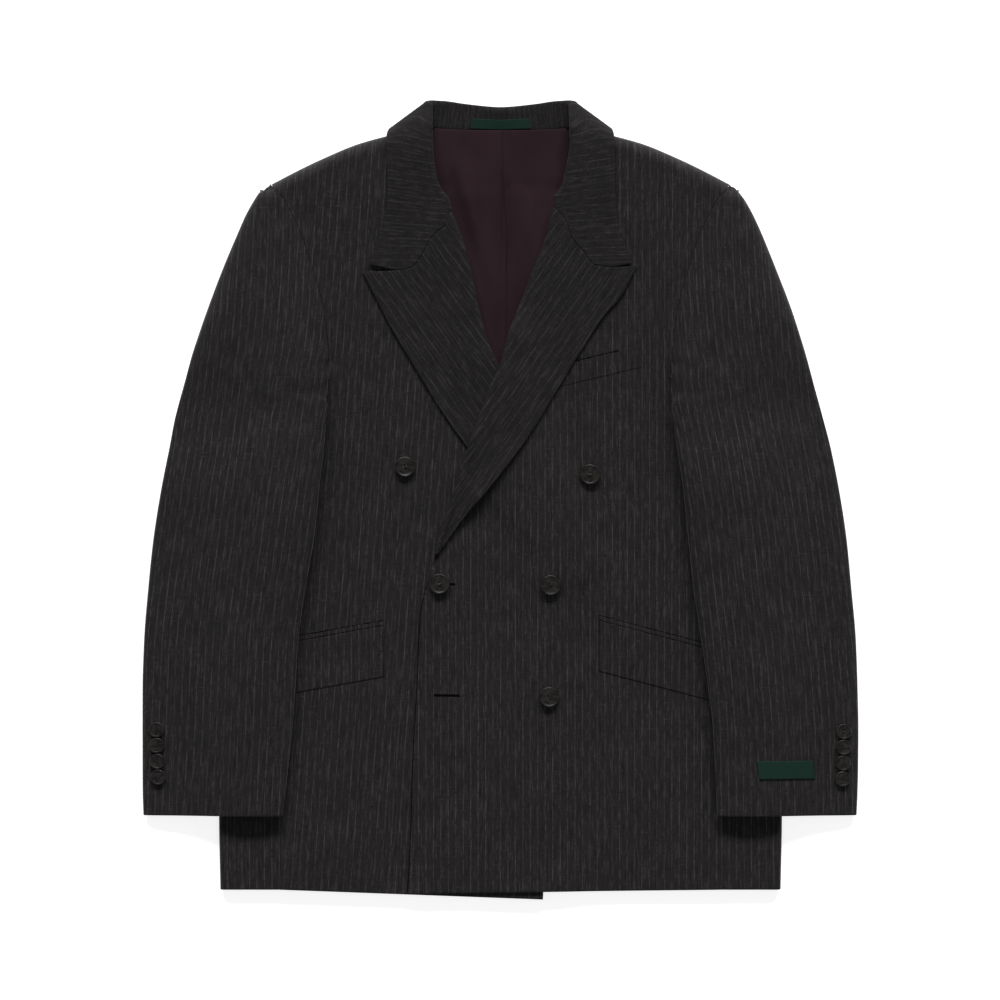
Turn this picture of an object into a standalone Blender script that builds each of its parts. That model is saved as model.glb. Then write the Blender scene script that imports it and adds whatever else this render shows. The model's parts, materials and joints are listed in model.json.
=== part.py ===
"""A double breasted blazer lying on its back, buttoned, collar up the table.

The pattern tables are in millimetres on a one-metre cutting table: u runs to the
right from its left edge, v runs down from its top edge, z is height above it.
The wearer's left is on the right (+X). The collar points to +Y.
"""

import math

import bpy
import numpy as np
from mathutils import Matrix, Vector
from mathutils.bvhtree import BVHTree

# ---------------------------------------------------------------- driving sizes
MM = 0.001
CENTRE_U = 500.5            # centre back line on the cutting table
CENTRE_V = 500.0            # middle of the blazer's length

BODY_CLOTH = 2.0            # suiting with its canvas
LAPEL_CLOTH = 2.4           # suiting turned back on itself
COLLAR_CLOTH = 2.4
SLEEVE_CLOTH = 1.8
LINING_CLOTH = 1.0
LABEL_CLOTH = 1.0
FLAP_CLOTH = 2.0
JET_CLOTH = 1.2

SEAM = 0.3                  # gap between pieces at a seam
LAY = 0.8                   # gap between layers that lie loose
OVERLAP_LIFT = 2.8          # what the under front lifts the over front
LAPEL_LIFT = 4.6            # what the tucked lapel adds to that
NECK_RAISE = 3.6            # what the collar beneath lifts the back
NECK_SEAM = 1.0             # gap between the collar and the neck edge it stands on
ROPING = 9.0                # fullness of the sleeve's head beside its seam
SLEEVE_REST = 3.4           # height of a sleeve over the body's cloth
LAPEL_EDGE_GAP = 2.0        # height of a lapel's edge over the front
SHOULDER_GAP = 0.7          # height of the front's shoulder edge over the back
UNDERARM_HALF = 192.0       # where the under sleeve starts below the underarm
LAPEL_TUCK = 34.0           # how far in from the tucked lapel's edge its lift starts
LIFT_REACH = 46.0           # how far past the under front's edge its lift ends

BUTTON_RADIUS = 10.3
CUFF_BUTTON_RADIUS = 7.7
SHANK_SHARE = 0.24          # thread shank's radius as a share of the button's

LEFT = 1.0                  # wearer's left, +X
RIGHT = -1.0

# ---------------------------------------------------------------- pattern tables
# Room inside the body between its back and its front.
BODY_ROOM = (
    ("v", "centre", "chest", "side"),
    (100, 17.0, 21.0, 20.0),
    (150, 17.0, 22.0, 21.0),
    (180, 16.5, 22.0, 21.0),
    (230, 14.5, 20.0, 20.0),
    (300, 12.0, 18.0, 16.5),
    (400, 10.0, 14.5, 9.0),
    (500, 9.0, 12.0, 8.0),
    (600, 8.0, 10.0, 7.5),
    (700, 7.5, 8.5, 7.0),
    (800, 7.0, 7.5, 6.5),
    (900, 6.5, 6.5, 6.2),
)

# Distance of the folded body edge from the centre.
BODY_EDGE = (
    ("v", "half"),
    (404, 266.0),
    (450, 264.0),
    (520, 263.0),
    (600, 266.0),
    (680, 273.0),
    (760, 279.5),
    (840, 282.3),
    (892, 280.5),
)

# Straight seams of the side panel, as distance from the centre.
UNDERARM_V = 404.0
HEM_V = 890.0
FRONT_SEAM = (("v", "half"), (404, 199.5), (890, 221.5))
BACK_SEAM = (("v", "half"), (404, 234.5), (890, 247.5))

# Free edge of each front, hem to the end of its lapel.
OVER_EDGE = (
    ("u", "v"),
    (408.0, 893.6),
    (411.0, 837.0),
    (412.0, 791.0),
    (418.0, 676.0),
    (422.0, 600.0),
    (434.0, 556.0),
)
UNDER_EDGE = (
    ("u", "v"),
    (543.0, 899.8),
    (548.0, 800.0),
    (555.0, 690.0),
    (562.0, 600.0),
    (567.0, 556.0),
)

# Roll line of each lapel, from its lower end to the collar.
OVER_ROLL = (
    ("u", "v"),
    (434.0, 556.0),
    (438.0, 544.0),
    (442.0, 523.0),
    (449.5, 502.0),
    (461.0, 468.0),
    (467.0, 452.0),
    (474.0, 426.0),
    (482.0, 406.5),
    (490.0, 385.5),
    (499.0, 366.0),
    (509.0, 329.0),
    (521.0, 300.0),
    (534.0, 265.0),
    (541.0, 246.0),
    (549.0, 230.0),
    (552.5, 207.5),
)
UNDER_ROLL = (
    ("u", "v"),
    (567.0, 556.0),
    (549.0, 508.0),
    (530.0, 455.0),
    (512.0, 404.0),
    (498.0, 363.0),
    (491.0, 348.0),
    (480.0, 310.0),
    (468.0, 256.0),
    (457.0, 222.0),
    (452.5, 211.5),
)

# Outer radius of each lapel's roll along it.
ROLL_RADIUS = (
    ("share", "over", "under"),
    (0.0, 3.4, 2.6),
    (0.12, 4.8, 3.0),
    (0.35, 4.6, 3.2),
    (0.55, 4.2, 3.3),
    (0.70, 3.9, 3.8),
    (1.0, 3.8, 3.8),
)

# Outer edge of each lapel, from its lower end to the peak.
OVER_LAPEL_EDGE = (
    ("u", "v"),
    (438.5, 553.5),
    (449.0, 539.0),
    (465.0, 516.0),
    (492.0, 485.0),
    (513.0, 458.0),
    (532.0, 431.0),
    (572.0, 366.0),
    (600.6, 321.0),
    (631.0, 281.0),
    (636.5, 266.0),
)
UNDER_LAPEL_EDGE = (
    ("u", "v"),
    (562.5, 553.5),
    (552.0, 541.0),
    (515.0, 503.0),
    (467.0, 447.0),
    (446.0, 418.0),
    (426.5, 387.0),
    (413.0, 365.0),
    (396.0, 337.0),
    (362.4, 272.2),
)

# Seam between collar and lapel, from the roll line to the notch.
OVER_GORGE = (
    ("u", "v"),
    (552.5, 207.0),
    (565.0, 219.0),
    (570.0, 235.0),
    (582.0, 249.0),
    (588.0, 262.0),
    (598.0, 266.0),
    (613.0, 267.5),
)
UNDER_GORGE = (
    ("u", "v"),
    (452.5, 211.0),
    (447.0, 223.0),
    (433.5, 235.0),
    (428.0, 244.0),
    (421.0, 256.5),
    (410.0, 268.5),
    (396.0, 270.6),
)

# Rows of a front: place along the free edge (0 hem, 1 lapel's end, 2 gorge,
# 3 shoulder), and the outer end, as distance from the centre.
FRONT_ROWS = (
    ("along", "half", "v"),
    (0.00, 221.5, 890.0),
    (0.17, 219.0, 835.0),
    (0.40, 215.5, 757.0),
    (0.62, 212.0, 680.0),
    (0.82, 208.9, 612.0),
    (1.00, 206.4, 556.0),
    (1.11, 204.3, 510.0),
    (1.23, 202.3, 465.0),
    (1.35, 200.5, 427.0),
    (1.43, 199.5, 404.0),
    (1.49, 187.5, 391.0),
    (1.55, 175.5, 378.0),
    (1.63, 171.2, 355.0),
    (1.73, 176.0, 312.0),
    (1.82, 187.5, 268.0),
    (1.91, 199.5, 233.0),
    (2.00, 207.5, 215.0),
    (2.30, 212.5, 206.0),
    (2.65, 217.5, 198.2),
    (3.00, 220.5, 194.0),
)

# Neck edge of a front, gorge to the shoulder, as distance from the centre.
FRONT_NECK = (
    ("half", "v"),
    (55.0, 214.0),
    (62.0, 200.0),
    (67.5, 187.0),
    (73.5, 165.0),
    (76.0, 143.5),
)
# Shoulder line from the neck to the armhole, as distance from the centre.
SHOULDER = (
    ("half", "v"),
    (73.8, 128.6),
    (95.0, 130.6),
    (110.5, 134.6),
    (125.0, 138.4),
    (142.5, 143.4),
    (180.0, 158.8),
    (208.0, 172.4),
    (229.6, 183.8),
)
# Depth of the shoulder's turn, measured on the table at each end.
TURN_AT_NECK = (2.2, 15.0)
TURN_AT_ARM = (-9.1, 10.2)

# Rows of the back: centre seam, then the outer end.
BACK_ROWS = (
    ("centre_v", "half", "v"),
    (887.0, 247.2, 887.0),
    (760.0, 243.9, 757.0),
    (640.0, 240.5, 640.0),
    (520.0, 237.5, 520.0),
    (415.0, 234.5, 404.0),
    (385.0, 221.0, 391.0),
    (365.0, 205.5, 378.0),
    (340.0, 202.5, 355.0),
    (300.0, 201.5, 312.0),
    (262.0, 203.5, 268.0),
    (232.0, 207.5, 233.0),
    (212.0, 211.0, 215.0),
    (192.0, 217.5, 199.5),
    (172.0, 221.0, 194.0),
    (150.0, 224.2, 190.0),
    (131.6, 229.0, 184.3),
)
BACK_TOP = (
    ("half", "v"),
    (0.0, 131.6),
    (30.0, 130.8),
    (60.0, 130.0),
    (73.6, 129.4),
    (95.0, 131.0),
    (110.5, 135.0),
    (142.5, 143.8),
    (180.0, 159.2),
    (208.0, 172.8),
    (229.0, 184.3),
)

# Sleeve sections, cuff to shoulder. Edges are distances from the centre on each
# side; deep is the tube's height; crest the cloth's height on the shoulder.
SLEEVE_ROWS = (
    ("v", "inner_left", "outer_left", "inner_right", "outer_right", "deep", "crest"),
    (815.6, 216.5, 356.6, 217.6, 357.6, 13.0, 29.0),
    (785.0, 215.0, 357.8, 214.0, 358.4, 14.0, 29.0),
    (735.0, 212.6, 358.4, 208.4, 358.5, 15.0, 29.0),
    (690.0, 207.5, 357.6, 204.8, 358.4, 16.0, 29.0),
    (640.0, 200.3, 355.8, 201.8, 356.8, 17.0, 29.0),
    (590.0, 192.7, 351.4, 194.8, 352.8, 17.5, 29.0),
    (540.0, 187.2, 346.6, 186.2, 347.6, 18.0, 29.0),
    (490.0, 182.2, 339.0, 180.8, 339.8, 18.0, 29.0),
    (445.0, 175.6, 330.0, 175.8, 331.0, 15.5, 30.0),
    (420.0, 172.4, 323.6, 173.8, 326.4, 13.0, 30.5),
    (404.0, 170.6, 319.3, 172.6, 322.4, 12.0, 31.0),
    (391.0, 170.6, 315.7, 172.4, 318.8, 12.0, 31.0),
    (378.0, 170.6, 312.2, 172.2, 315.2, 12.0, 31.0),
    (355.0, 171.0, 306.0, 172.0, 309.0, 12.0, 30.6),
    (312.0, 176.0, 292.4, 173.0, 294.4, 12.0, 29.8),
    (268.0, 187.5, 275.6, 187.5, 277.8, 15.0, 28.6),
    (233.0, 199.5, 261.3, 199.5, 263.0, 15.0, 27.0),
    (215.0, 207.5, 253.0, 207.5, 255.0, 15.0, 26.0),
    (199.5, 216.5, 244.2, 216.5, 246.2, 15.0, 24.0),
    (194.0, 220.5, 240.0, 220.5, 242.6, 15.0, 21.5),
    (191.0, 223.2, 237.6, 223.2, 239.8, 15.0, 18.0),
)
# Section angles of the top sleeve, 0 at the outer edge, 180 at the inner one.
TOP_ANGLES = (-20, 0, 14, 30, 48, 62, 76, 90, 104, 118, 132, 150, 166, 180, 200)
# Places across the under sleeve are -1 at the inner edge and 1 at the outer one.
UNDER_REACH = 0.971
# The under sleeve steps down to the table between these distances beyond the
# body's edge.
STEP_TOP = -10.0
STEP_FOOT = 28.0
# It is parted into a head, a strip over the body and a strip on the table: between
# these rows of SLEEVE_STATIONS and at the column at the foot of the step.
UNDER_HEAD_ROW = 12.5
UNDER_FOOT_COLUMN = 7
# The top sleeve is parted into an arm and a head between these rows.
TOP_HEAD_ROW = 8.5
# Where the sleeve starts to lap over the front's corner, and its height over it.
LAP_START = 355.0
LAP_CLEAR = 0.9
# Length over which the sleeve's outer side turns from the head into the arm.
HEAD_BLEND = 112.0

# Height of the under sleeve's inner end as it climbs over the side panel.
UNDERARM_FOOT = (("v", "height"), (355.0, 0.0), (378.0, 3.0), (391.0, 19.6))

# Collar stations from the gorge round to the centre back. Columns: roll line,
# outer edge and neck seam (u, v), and the fold's radius.
COLLAR_FRONT_LEFT = (
    ("roll_u", "roll_v", "edge_u", "edge_v", "neck_v", "fold"),
    (552.5, 206.5, 631.5, 261.6, 209.4, 2.6),
    (553.0, 198.0, 626.5, 250.0, 201.0, 3.2),
    (560.5, 188.0, 620.0, 233.0, 190.0, 3.8),
    (564.0, 177.0, 616.0, 212.0, 177.0, 4.4),
    (567.0, 162.0, 614.8, 188.0, 161.0, 4.8),
    (569.8, 145.0, 614.6, 167.0, 148.0, 5.0),
    (570.8, 128.0, 614.2, 150.0, 138.5, 5.0),
    (571.0, 112.0, 613.8, 138.0, 131.5, 4.8),
)
COLLAR_FRONT_RIGHT = (
    ("roll_u", "roll_v", "edge_u", "edge_v", "neck_v", "fold"),
    (452.5, 210.2, 369.5, 262.6, 211.8, 2.6),
    (450.0, 200.0, 374.0, 250.0, 201.0, 3.2),
    (442.5, 191.0, 381.0, 233.0, 190.0, 3.8),
    (437.5, 179.0, 386.0, 212.0, 177.0, 4.4),
    (434.5, 162.0, 387.6, 188.0, 161.0, 4.8),
    (433.0, 145.0, 387.4, 167.0, 148.0, 5.0),
    (431.6, 128.0, 386.8, 150.0, 138.5, 5.0),
    (430.4, 112.0, 386.8, 138.0, 131.5, 4.8),
)
COLLAR_FRONT_HEIGHT = (
    ("roll_z", "edge_z", "neck_z"),
    (0.0, 0.0, 0.0),
    (0.0, 0.0, 0.0),
    (0.0, 0.0, 0.0),
    (0.0, 0.0, 0.0),
    (0.0, 0.0, 0.0),
    (0.0, 0.0, 0.0),
    (25.5, 0.0, 19.0),
    (20.5, 23.0, 12.5),
)
# The rest of the collar is alike on both sides: distances from the centre.
COLLAR_BACK = (
    ("roll_half", "roll_v", "roll_z", "edge_half", "edge_v", "edge_z",
     "neck_half", "neck_v", "neck_z", "fold"),
    (70.2, 101.3, 13.5, 110.8, 129.2, 13.0, 70.4, 127.6, 7.0, 4.6),
    (64.0, 100.2, 9.5, 102.5, 127.0, 6.5, 65.5, 127.8, 5.2, 4.2),
    (57.0, 100.4, 7.7, 91.0, 126.6, 2.0, 58.0, 128.2, 4.8, 4.0),
    (48.0, 101.0, 5.9, 75.0, 147.0, 1.3, 49.0, 128.8, 4.8, 3.9),
    (30.0, 103.4, 5.5, 44.0, 151.5, 1.3, 31.0, 129.6, 4.8, 3.8),
    (0.0, 106.0, 5.3, 0.0, 153.0, 1.3, 0.0, 130.4, 4.8, 3.7),
)

# Pocket flaps: inner end and slope on the table.
POCKETS = (
    ("side", "inner_half", "top_v", "slope", "long", "tall"),
    (LEFT, 98.8, 620.5, 0.262, 143.0, 50.5),
    (RIGHT, 116.8, 625.5, 0.180, 141.0, 51.0),
)
JET_TALL = 5.0

FRONT_BUTTONS = (
    ("u", "v", "tilt", "toward"),
    (405.0, 467.0, 3.0, 40.0),
    (590.0, 474.5, 3.0, 200.0),
    (439.5, 584.0, 2.0, 120.0),
    (550.5, 585.0, 2.0, 300.0),
    (549.0, 697.0, 3.5, 20.0),
)
CUFF_BUTTONS = (
    ("side", "v", "half"),
    (LEFT, 731.4, 342.8),
    (LEFT, 747.2, 342.6),
    (LEFT, 763.0, 342.2),
    (LEFT, 778.8, 341.6),
    (RIGHT, 729.6, 343.6),
    (RIGHT, 745.4, 343.2),
    (RIGHT, 761.2, 342.6),
    (RIGHT, 777.0, 342.0),
)


# ---------------------------------------------------------------- small helpers
def columns(table, *names):
    """The named columns of a table as arrays."""
    heads = list(table[0])
    rows = np.array(table[1:], dtype=float)
    return [rows[:, heads.index(name)] for name in names]


def ease(t):
    t = np.clip(t, 0.0, 1.0)
    return t * t * (3.0 - 2.0 * t)


def follow(xs, ys, x):
    """Smooth curve through (xs, ys) that never overshoots them."""
    xs = np.asarray(xs, float)
    ys = np.asarray(ys, float)
    step = np.diff(xs)
    slope = np.diff(ys) / step
    lean = np.zeros(len(xs))
    lean[0] = slope[0]
    lean[-1] = slope[-1]
    for i in range(1, len(xs) - 1):
        if slope[i - 1] * slope[i] > 0.0:
            before = 2.0 * step[i] + step[i - 1]
            after = step[i] + 2.0 * step[i - 1]
            lean[i] = (before + after) / (before / slope[i - 1] + after / slope[i])
    x = np.clip(np.asarray(x, float), xs[0], xs[-1])
    i = np.clip(np.searchsorted(xs, x) - 1, 0, len(step) - 1)
    t = (x - xs[i]) / step[i]
    return (
        ys[i] * (1 + 2 * t) * (1 - t) ** 2
        + lean[i] * step[i] * t * (1 - t) ** 2
        + ys[i + 1] * t * t * (3 - 2 * t)
        + lean[i + 1] * step[i] * t * t * (t - 1)
    )


def along_path(points, t):
    """Points at shares t of the length of a smooth path."""
    points = np.asarray(points, float)
    run = np.concatenate([[0.0], np.cumsum(np.linalg.norm(np.diff(points, axis=0), axis=1))])
    run /= run[-1]
    return np.stack([follow(run, points[:, k], t) for k in range(points.shape[1])], axis=-1)


def table_path(table, t):
    first, second = table[0]
    return along_path(np.stack(columns(table, first, second), axis=-1), t)


def unit(vector):
    return vector / np.maximum(np.linalg.norm(vector, axis=-1, keepdims=True), 1e-9)


def on_side(half, side):
    return CENTRE_U + side * np.asarray(half, float)


# ---------------------------------------------------------------- the body's levels
def body_room(u, v):
    rows, centre, chest, side = columns(BODY_ROOM, "v", "centre", "chest", "side")
    half = np.abs(np.asarray(u, float) - CENTRE_U)
    at_centre = follow(rows, centre, v)
    at_chest = follow(rows, chest, v)
    at_side = follow(rows, side, v)
    room = at_centre + (at_chest - at_centre) * ease((half - 60.0) / 110.0)
    return room + (at_side - room) * ease((half - 180.0) / 80.0)


def body_base(u, v):
    """Inner face of a front."""
    return BODY_CLOTH + body_room(u, v)


def neck_raise(u, v):
    """How far the back lies above the table over the collar's fall."""
    half = np.abs(np.asarray(u, float) - CENTRE_U)
    return NECK_RAISE * (1 - ease((np.asarray(v, float) - 172.0) / 40.0)) * (1 - ease((half - 125.0) / 50.0))


def under_edge_u(v):
    """Free edge or roll line of the under front at height v."""
    edge = np.array(UNDER_ROLL[1:][::-1] + UNDER_EDGE[1:][::-1][1:], dtype=float)
    return np.interp(v, edge[:, 1], edge[:, 0])


def under_lapel_u(v):
    """Outer edge of the under lapel at height v."""
    edge = np.array(UNDER_LAPEL_EDGE[1:][::-1], dtype=float)
    return np.interp(v, edge[:, 1], edge[:, 0])


def over_lift(u, v):
    """What the layers beneath lift the over front."""
    u = np.asarray(u, float)
    v = np.asarray(v, float)
    reach = under_edge_u(v)
    lift = OVERLAP_LIFT * ease((reach + LIFT_REACH - u) / 30.0)
    beyond = under_lapel_u(v)
    tucked = ease((u - beyond + LAPEL_TUCK) / 18.0) * ease((reach + LIFT_REACH - 2.0 - u) / 26.0)
    tucked = tucked * ease((600.0 - v) / 26.0) * ease((v - 285.0) / 40.0)
    return lift + LAPEL_LIFT * tucked


def front_base(u, v, over):
    """Inner face of the over or the under front."""
    base = body_base(u, v)
    return base + over_lift(u, v) if over else base


def body_top(u, v, over):
    return front_base(u, v, over) + BODY_CLOTH


# ---------------------------------------------------------------- solids from grids
def to_space(grid):
    """Cutting table (u, v, z) in mm to world metres."""
    grid = np.asarray(grid, float)
    return np.stack([grid[..., 0] - CENTRE_U, CENTRE_V - grid[..., 1], grid[..., 2]], axis=-1) * MM


def grid_normals(points):
    down = np.gradient(points, axis=0)
    across = np.gradient(points, axis=1)
    return unit(np.cross(across, down))


def closed_mesh(name, face, back):
    """One closed body between two grids of points."""
    rows, cols = face.shape[:2]
    count = rows * cols
    points = np.concatenate([face.reshape(-1, 3), back.reshape(-1, 3)])
    quads = []
    for i in range(rows - 1):
        for j in range(cols - 1):
            a = i * cols + j
            quads.append((a, a + 1, a + cols + 1, a + cols))
            quads.append((count + a, count + a + cols, count + a + cols + 1, count + a + 1))
    rim = [(0, j) for j in range(cols)]
    rim += [(i, cols - 1) for i in range(1, rows)]
    rim += [(rows - 1, j) for j in range(cols - 2, -1, -1)]
    rim += [(i, 0) for i in range(rows - 2, 0, -1)]
    ring = [i * cols + j for i, j in rim]
    for a, b in zip(ring, ring[1:] + ring[:1]):
        quads.append((a, a + count, b + count, b))
    triangles = []
    for a, b, c, d in quads:
        triangles.append((a, b, c))
        triangles.append((a, c, d))
    corner = points[np.array(triangles)]
    volume = np.einsum("ij,ij->i", corner[:, 0], np.cross(corner[:, 1], corner[:, 2])).sum()
    if volume < 0.0:
        triangles = [(a, c, b) for a, b, c in triangles]
    mesh = bpy.data.meshes.new(name)
    mesh.from_pydata(points.tolist(), [], triangles)
    mesh.update()
    return mesh


def place(name, mesh, material):
    mesh.materials.append(material)
    mesh.shade_smooth()
    mesh.set_sharp_from_angle(angle=math.radians(40.0))
    body = bpy.data.objects.new(name, mesh)
    bpy.context.scene.collection.objects.link(body)
    return body


def facing(outer, column, faces=1.0):
    """Outward normals of a grid whose given column faces up (1) or down (-1)."""
    normals = grid_normals(to_space(outer))
    if faces * normals[:, column, 2].sum() < 0.0:
        normals = -normals
    return normals


def cloth(name, outer, thick, material, normals):
    """A wall of even thickness behind a grid of outer points."""
    face = to_space(outer)
    back = face - normals * thick * MM
    return place(name, closed_mesh(name, face, back), material)


def cloth_about(name, middle, thick, material, square):
    """A wall of even thickness about a grid of middle points.

    The edge is square to the table over each (row, first column, last column).
    """
    points = to_space(middle)
    normals = grid_normals(points)
    for row, first, last in square:
        for column in range(first, last + 1):
            normals[row, column] = (0.0, 0.0, math.copysign(1.0, normals[row, column, 2]))
    half = normals * thick * MM / 2
    return place(name, closed_mesh(name, points + half, points - half), material)


def slab(name, outer, thick, material):
    """A wall measured straight down from its upper points."""
    face = to_space(outer)
    back = face - np.array([0.0, 0.0, thick * MM])
    return place(name, closed_mesh(name, face, back), material)


def material(name, colour, rough):
    finish = bpy.data.materials.new(name)
    finish.use_nodes = True
    shader = finish.node_tree.nodes["Principled BSDF"]
    shader.inputs["Base Color"].default_value = (*colour, 1.0)
    shader.inputs["Roughness"].default_value = rough
    shader.inputs["Metallic"].default_value = 0.0
    finish.diffuse_color = (*colour, 1.0)
    return finish


# ---------------------------------------------------------------- lapels and fronts
def roll_radius(over, share, width):
    """Outer radius of a lapel's roll, largest above the over lapel's lower end."""
    row = "over" if over else "under"
    place_on_roll, full = columns(ROLL_RADIUS, "share", row)
    return np.minimum(np.interp(share, place_on_roll, full), np.maximum(1.9, width * 0.42))


def lapel_rows(over):
    """Roll points, outer edge points and shares for each row of a lapel."""
    along, = columns(FRONT_ROWS, "along")
    share = along[(along >= 1.0) & (along <= 2.0)] - 1.0
    roll = table_path(OVER_ROLL if over else UNDER_ROLL, share)
    edge = table_path(OVER_LAPEL_EDGE if over else UNDER_LAPEL_EDGE, share)
    return share, roll, edge


def gorge_points(over, gap):
    """Shared points of the gorge seam, moved toward the lapel by a gap."""
    points = table_path(OVER_GORGE if over else UNDER_GORGE, np.linspace(0.0, 1.0, 6))
    along = unit(np.gradient(points, axis=0))
    away = np.stack([-along[:, 1], along[:, 0]], axis=-1)
    return points + away * (gap if over else -gap)


def lapel_grid(over):
    share, roll, edge = lapel_rows(over)
    edge_gap = LAPEL_EDGE_GAP if over else LAY
    top = gorge_points(over, SEAM * 2)
    tip = edge[-1]
    top = np.vstack([top, (top[-1] + tip) / 2 + np.array([0.0, 0.3]), tip])
    top_span = top[-1] - top[0]
    run = np.concatenate([[0.0], np.cumsum(np.linalg.norm(np.diff(top, axis=0), axis=1))])
    step = run / run[-1]
    bow = top - (top[0] + np.outer(step, top_span))
    rows = []
    for k in range(len(share)):
        span = edge[k] - roll[k]
        width = np.linalg.norm(span)
        toward = span / width
        radius = roll_radius(over, share[k], width)
        middle = radius - LAPEL_CLOTH / 2
        at = roll[k] + toward * radius
        level = float(front_base(at[0], at[1], over))
        line = []
        foot = roll[k] + toward * (radius + 2.0)
        line.append((foot[0], foot[1], level + LAPEL_CLOTH / 2))
        for angle in (-90, -50, -15, 15, 50):
            turn = math.radians(angle)
            spot = roll[k] + toward * (radius - middle * math.cos(turn))
            line.append((spot[0], spot[1], level + radius + middle * math.sin(turn)))
        crest = level + 2 * radius - LAPEL_CLOTH / 2
        fade = ease((share[k] - 0.62) / 0.38)
        for j in range(len(step)):
            flat = roll[k] + toward * (radius + (width - radius) * step[j])
            shaped = roll[k] + span * step[j] + bow[j] if j else flat
            spot = flat + (shaped - flat) * fade
            rest = float(body_top(spot[0], spot[1], over)) + edge_gap + LAPEL_CLOTH / 2
            height = rest + max(0.0, crest - rest) * (1.0 - step[j]) ** 2.2
            line.append((spot[0], spot[1], height))
        rows.append(line)
    return np.array(rows)


def shoulder_points(side, share, depth):
    """Points of the shoulder line, moved down the table by a share of its turn."""
    points = table_path(SHOULDER, share)
    turn = np.outer(1 - share, TURN_AT_NECK) + np.outer(share, TURN_AT_ARM)
    points = points + turn * depth
    return np.stack([on_side(points[:, 0], side), points[:, 1]], axis=-1)


def front_grid(over, cols=15):
    side = LEFT if over else RIGHT
    along, half, outer_v = columns(FRONT_ROWS, "along", "half", "v")
    outer = np.stack([on_side(half, side), outer_v], axis=-1)
    share, roll, edge = lapel_rows(over)
    step = np.linspace(0.0, 1.0, cols)
    neck = table_path(FRONT_NECK, np.clip(along - 2.0, 0.0, 1.0))
    neck = np.stack([on_side(neck[:, 0], side), neck[:, 1]], axis=-1)
    free = table_path(OVER_EDGE if over else UNDER_EDGE, np.clip(along, 0.0, 1.0))
    rows = []
    shoulder = shoulder_points(side, step, 1.0)
    for k in range(len(along)):
        if along[k] < 1.0:
            start = free[k]
        elif along[k] <= 2.0:
            i = k - int(np.argmax(along >= 1.0))
            span = edge[i] - roll[i]
            width = np.linalg.norm(span)
            start = roll[i] + span / width * (roll_radius(over, share[i], width) + 2.0 + LAY)
        else:
            start = neck[k]
        line = start + np.outer(step, outer[k] - start)
        if along[k] > 2.0:
            straight = shoulder[0] + np.outer(step, shoulder[-1] - shoulder[0])
            line = line + (shoulder - straight) * ease(along[k] - 2.0)
        height = body_top(line[:, 0], line[:, 1], over)
        rows.append(np.column_stack([line, height]))
    for depth in (0.62, 0.32, 0.12, 0.0):
        line = shoulder_points(side, step, depth)
        high = body_top(line[:, 0], line[:, 1], over)
        low = BODY_CLOTH + neck_raise(line[:, 0], line[:, 1]) + SHOULDER_GAP
        height = low + (high - low) * math.sqrt(1.0 - (1.0 - depth) ** 2)
        rows.append(np.column_stack([line, height]))
    return np.array(rows)


# ---------------------------------------------------------------- back and sides
def back_grid(side, cols=11):
    centre_v, half, outer_v = columns(BACK_ROWS, "centre_v", "half", "v")
    step = np.linspace(0.0, 1.0, cols)
    top = table_path(BACK_TOP, step)
    rows = []
    for k in range(len(half)):
        first = np.array([SEAM / 2, centre_v[k]])
        last = np.array([half[k] - SEAM, outer_v[k]])
        line = first + np.outer(step, last - first)
        straight = top[0] + np.outer(step, top[-1] - top[0])
        line = line + (top - straight) * (ease((k - 11) / 4.0) if k > 11 else 0.0)
        u = on_side(line[:, 0], side)
        height = neck_raise(u, line[:, 1]) + BODY_CLOTH
        rows.append(np.column_stack([u, line[:, 1], height]))
    return np.array(rows)


def side_half(table, v):
    rows, half = columns(table, "v", "half")
    return np.interp(v, rows, half)


def side_grid(side):
    edge_v, edge_half = columns(BODY_EDGE, "v", "half")
    rows = []
    for v in (HEM_V, 815.0, 740.0, 660.0, 580.0, 500.0, 440.0, UNDERARM_V):
        near = side_half(FRONT_SEAM, v) + SEAM
        far = float(follow(edge_v, edge_half, v))
        under = side_half(BACK_SEAM, v) + SEAM
        high = float(body_base(on_side(far - 6.0, side), v)) + BODY_CLOTH
        radius = high / 2
        line = []
        for t in (0.0, 0.5, 1.0):
            half = near + (far - radius - near) * t
            line.append((half, v, float(body_base(on_side(half, side), v)) + BODY_CLOTH))
        line[-1] = (line[-1][0], v, high)
        for angle in (60, 30, 0, -30, -60, -90):
            turn = math.radians(angle)
            line.append((far - radius + radius * math.cos(turn), v, radius + radius * math.sin(turn)))
        line.append((under, v, 0.0))
        rows.append([(float(on_side(a, side)), b, c) for a, b, c in line])
    return np.array(rows)


# ---------------------------------------------------------------- sleeves
def sleeve_rest(side, half, v, full, none):
    """Height of what a sleeve lies on: full and none are where the step down to
    the table starts and ends, as distances beyond the body's edge."""
    edge_v, edge_half = columns(BODY_EDGE, "v", "half")
    edge = follow(edge_v, edge_half, v)
    top = body_base(on_side(half, side), v) + BODY_CLOTH + SLEEVE_REST
    return top * ease((edge + none - half) / (none - full))


def sleeve_row(side, v):
    names = ("inner_left", "outer_left") if side > 0 else ("inner_right", "outer_right")
    rows, inner, outer, deep, crest = columns(SLEEVE_ROWS, "v", *names, "deep", "crest")
    order = np.argsort(rows)
    return [float(follow(rows[order], col[order], v)) for col in (inner, outer, deep, crest)]


def front_edge(side):
    """Armhole edge of the front: rows of (half, v, z)."""
    grid = front_grid(side > 0)[:, -1]
    return np.stack([np.abs(grid[:, 0] - CENTRE_U), grid[:, 1], grid[:, 2]], axis=-1)


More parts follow.
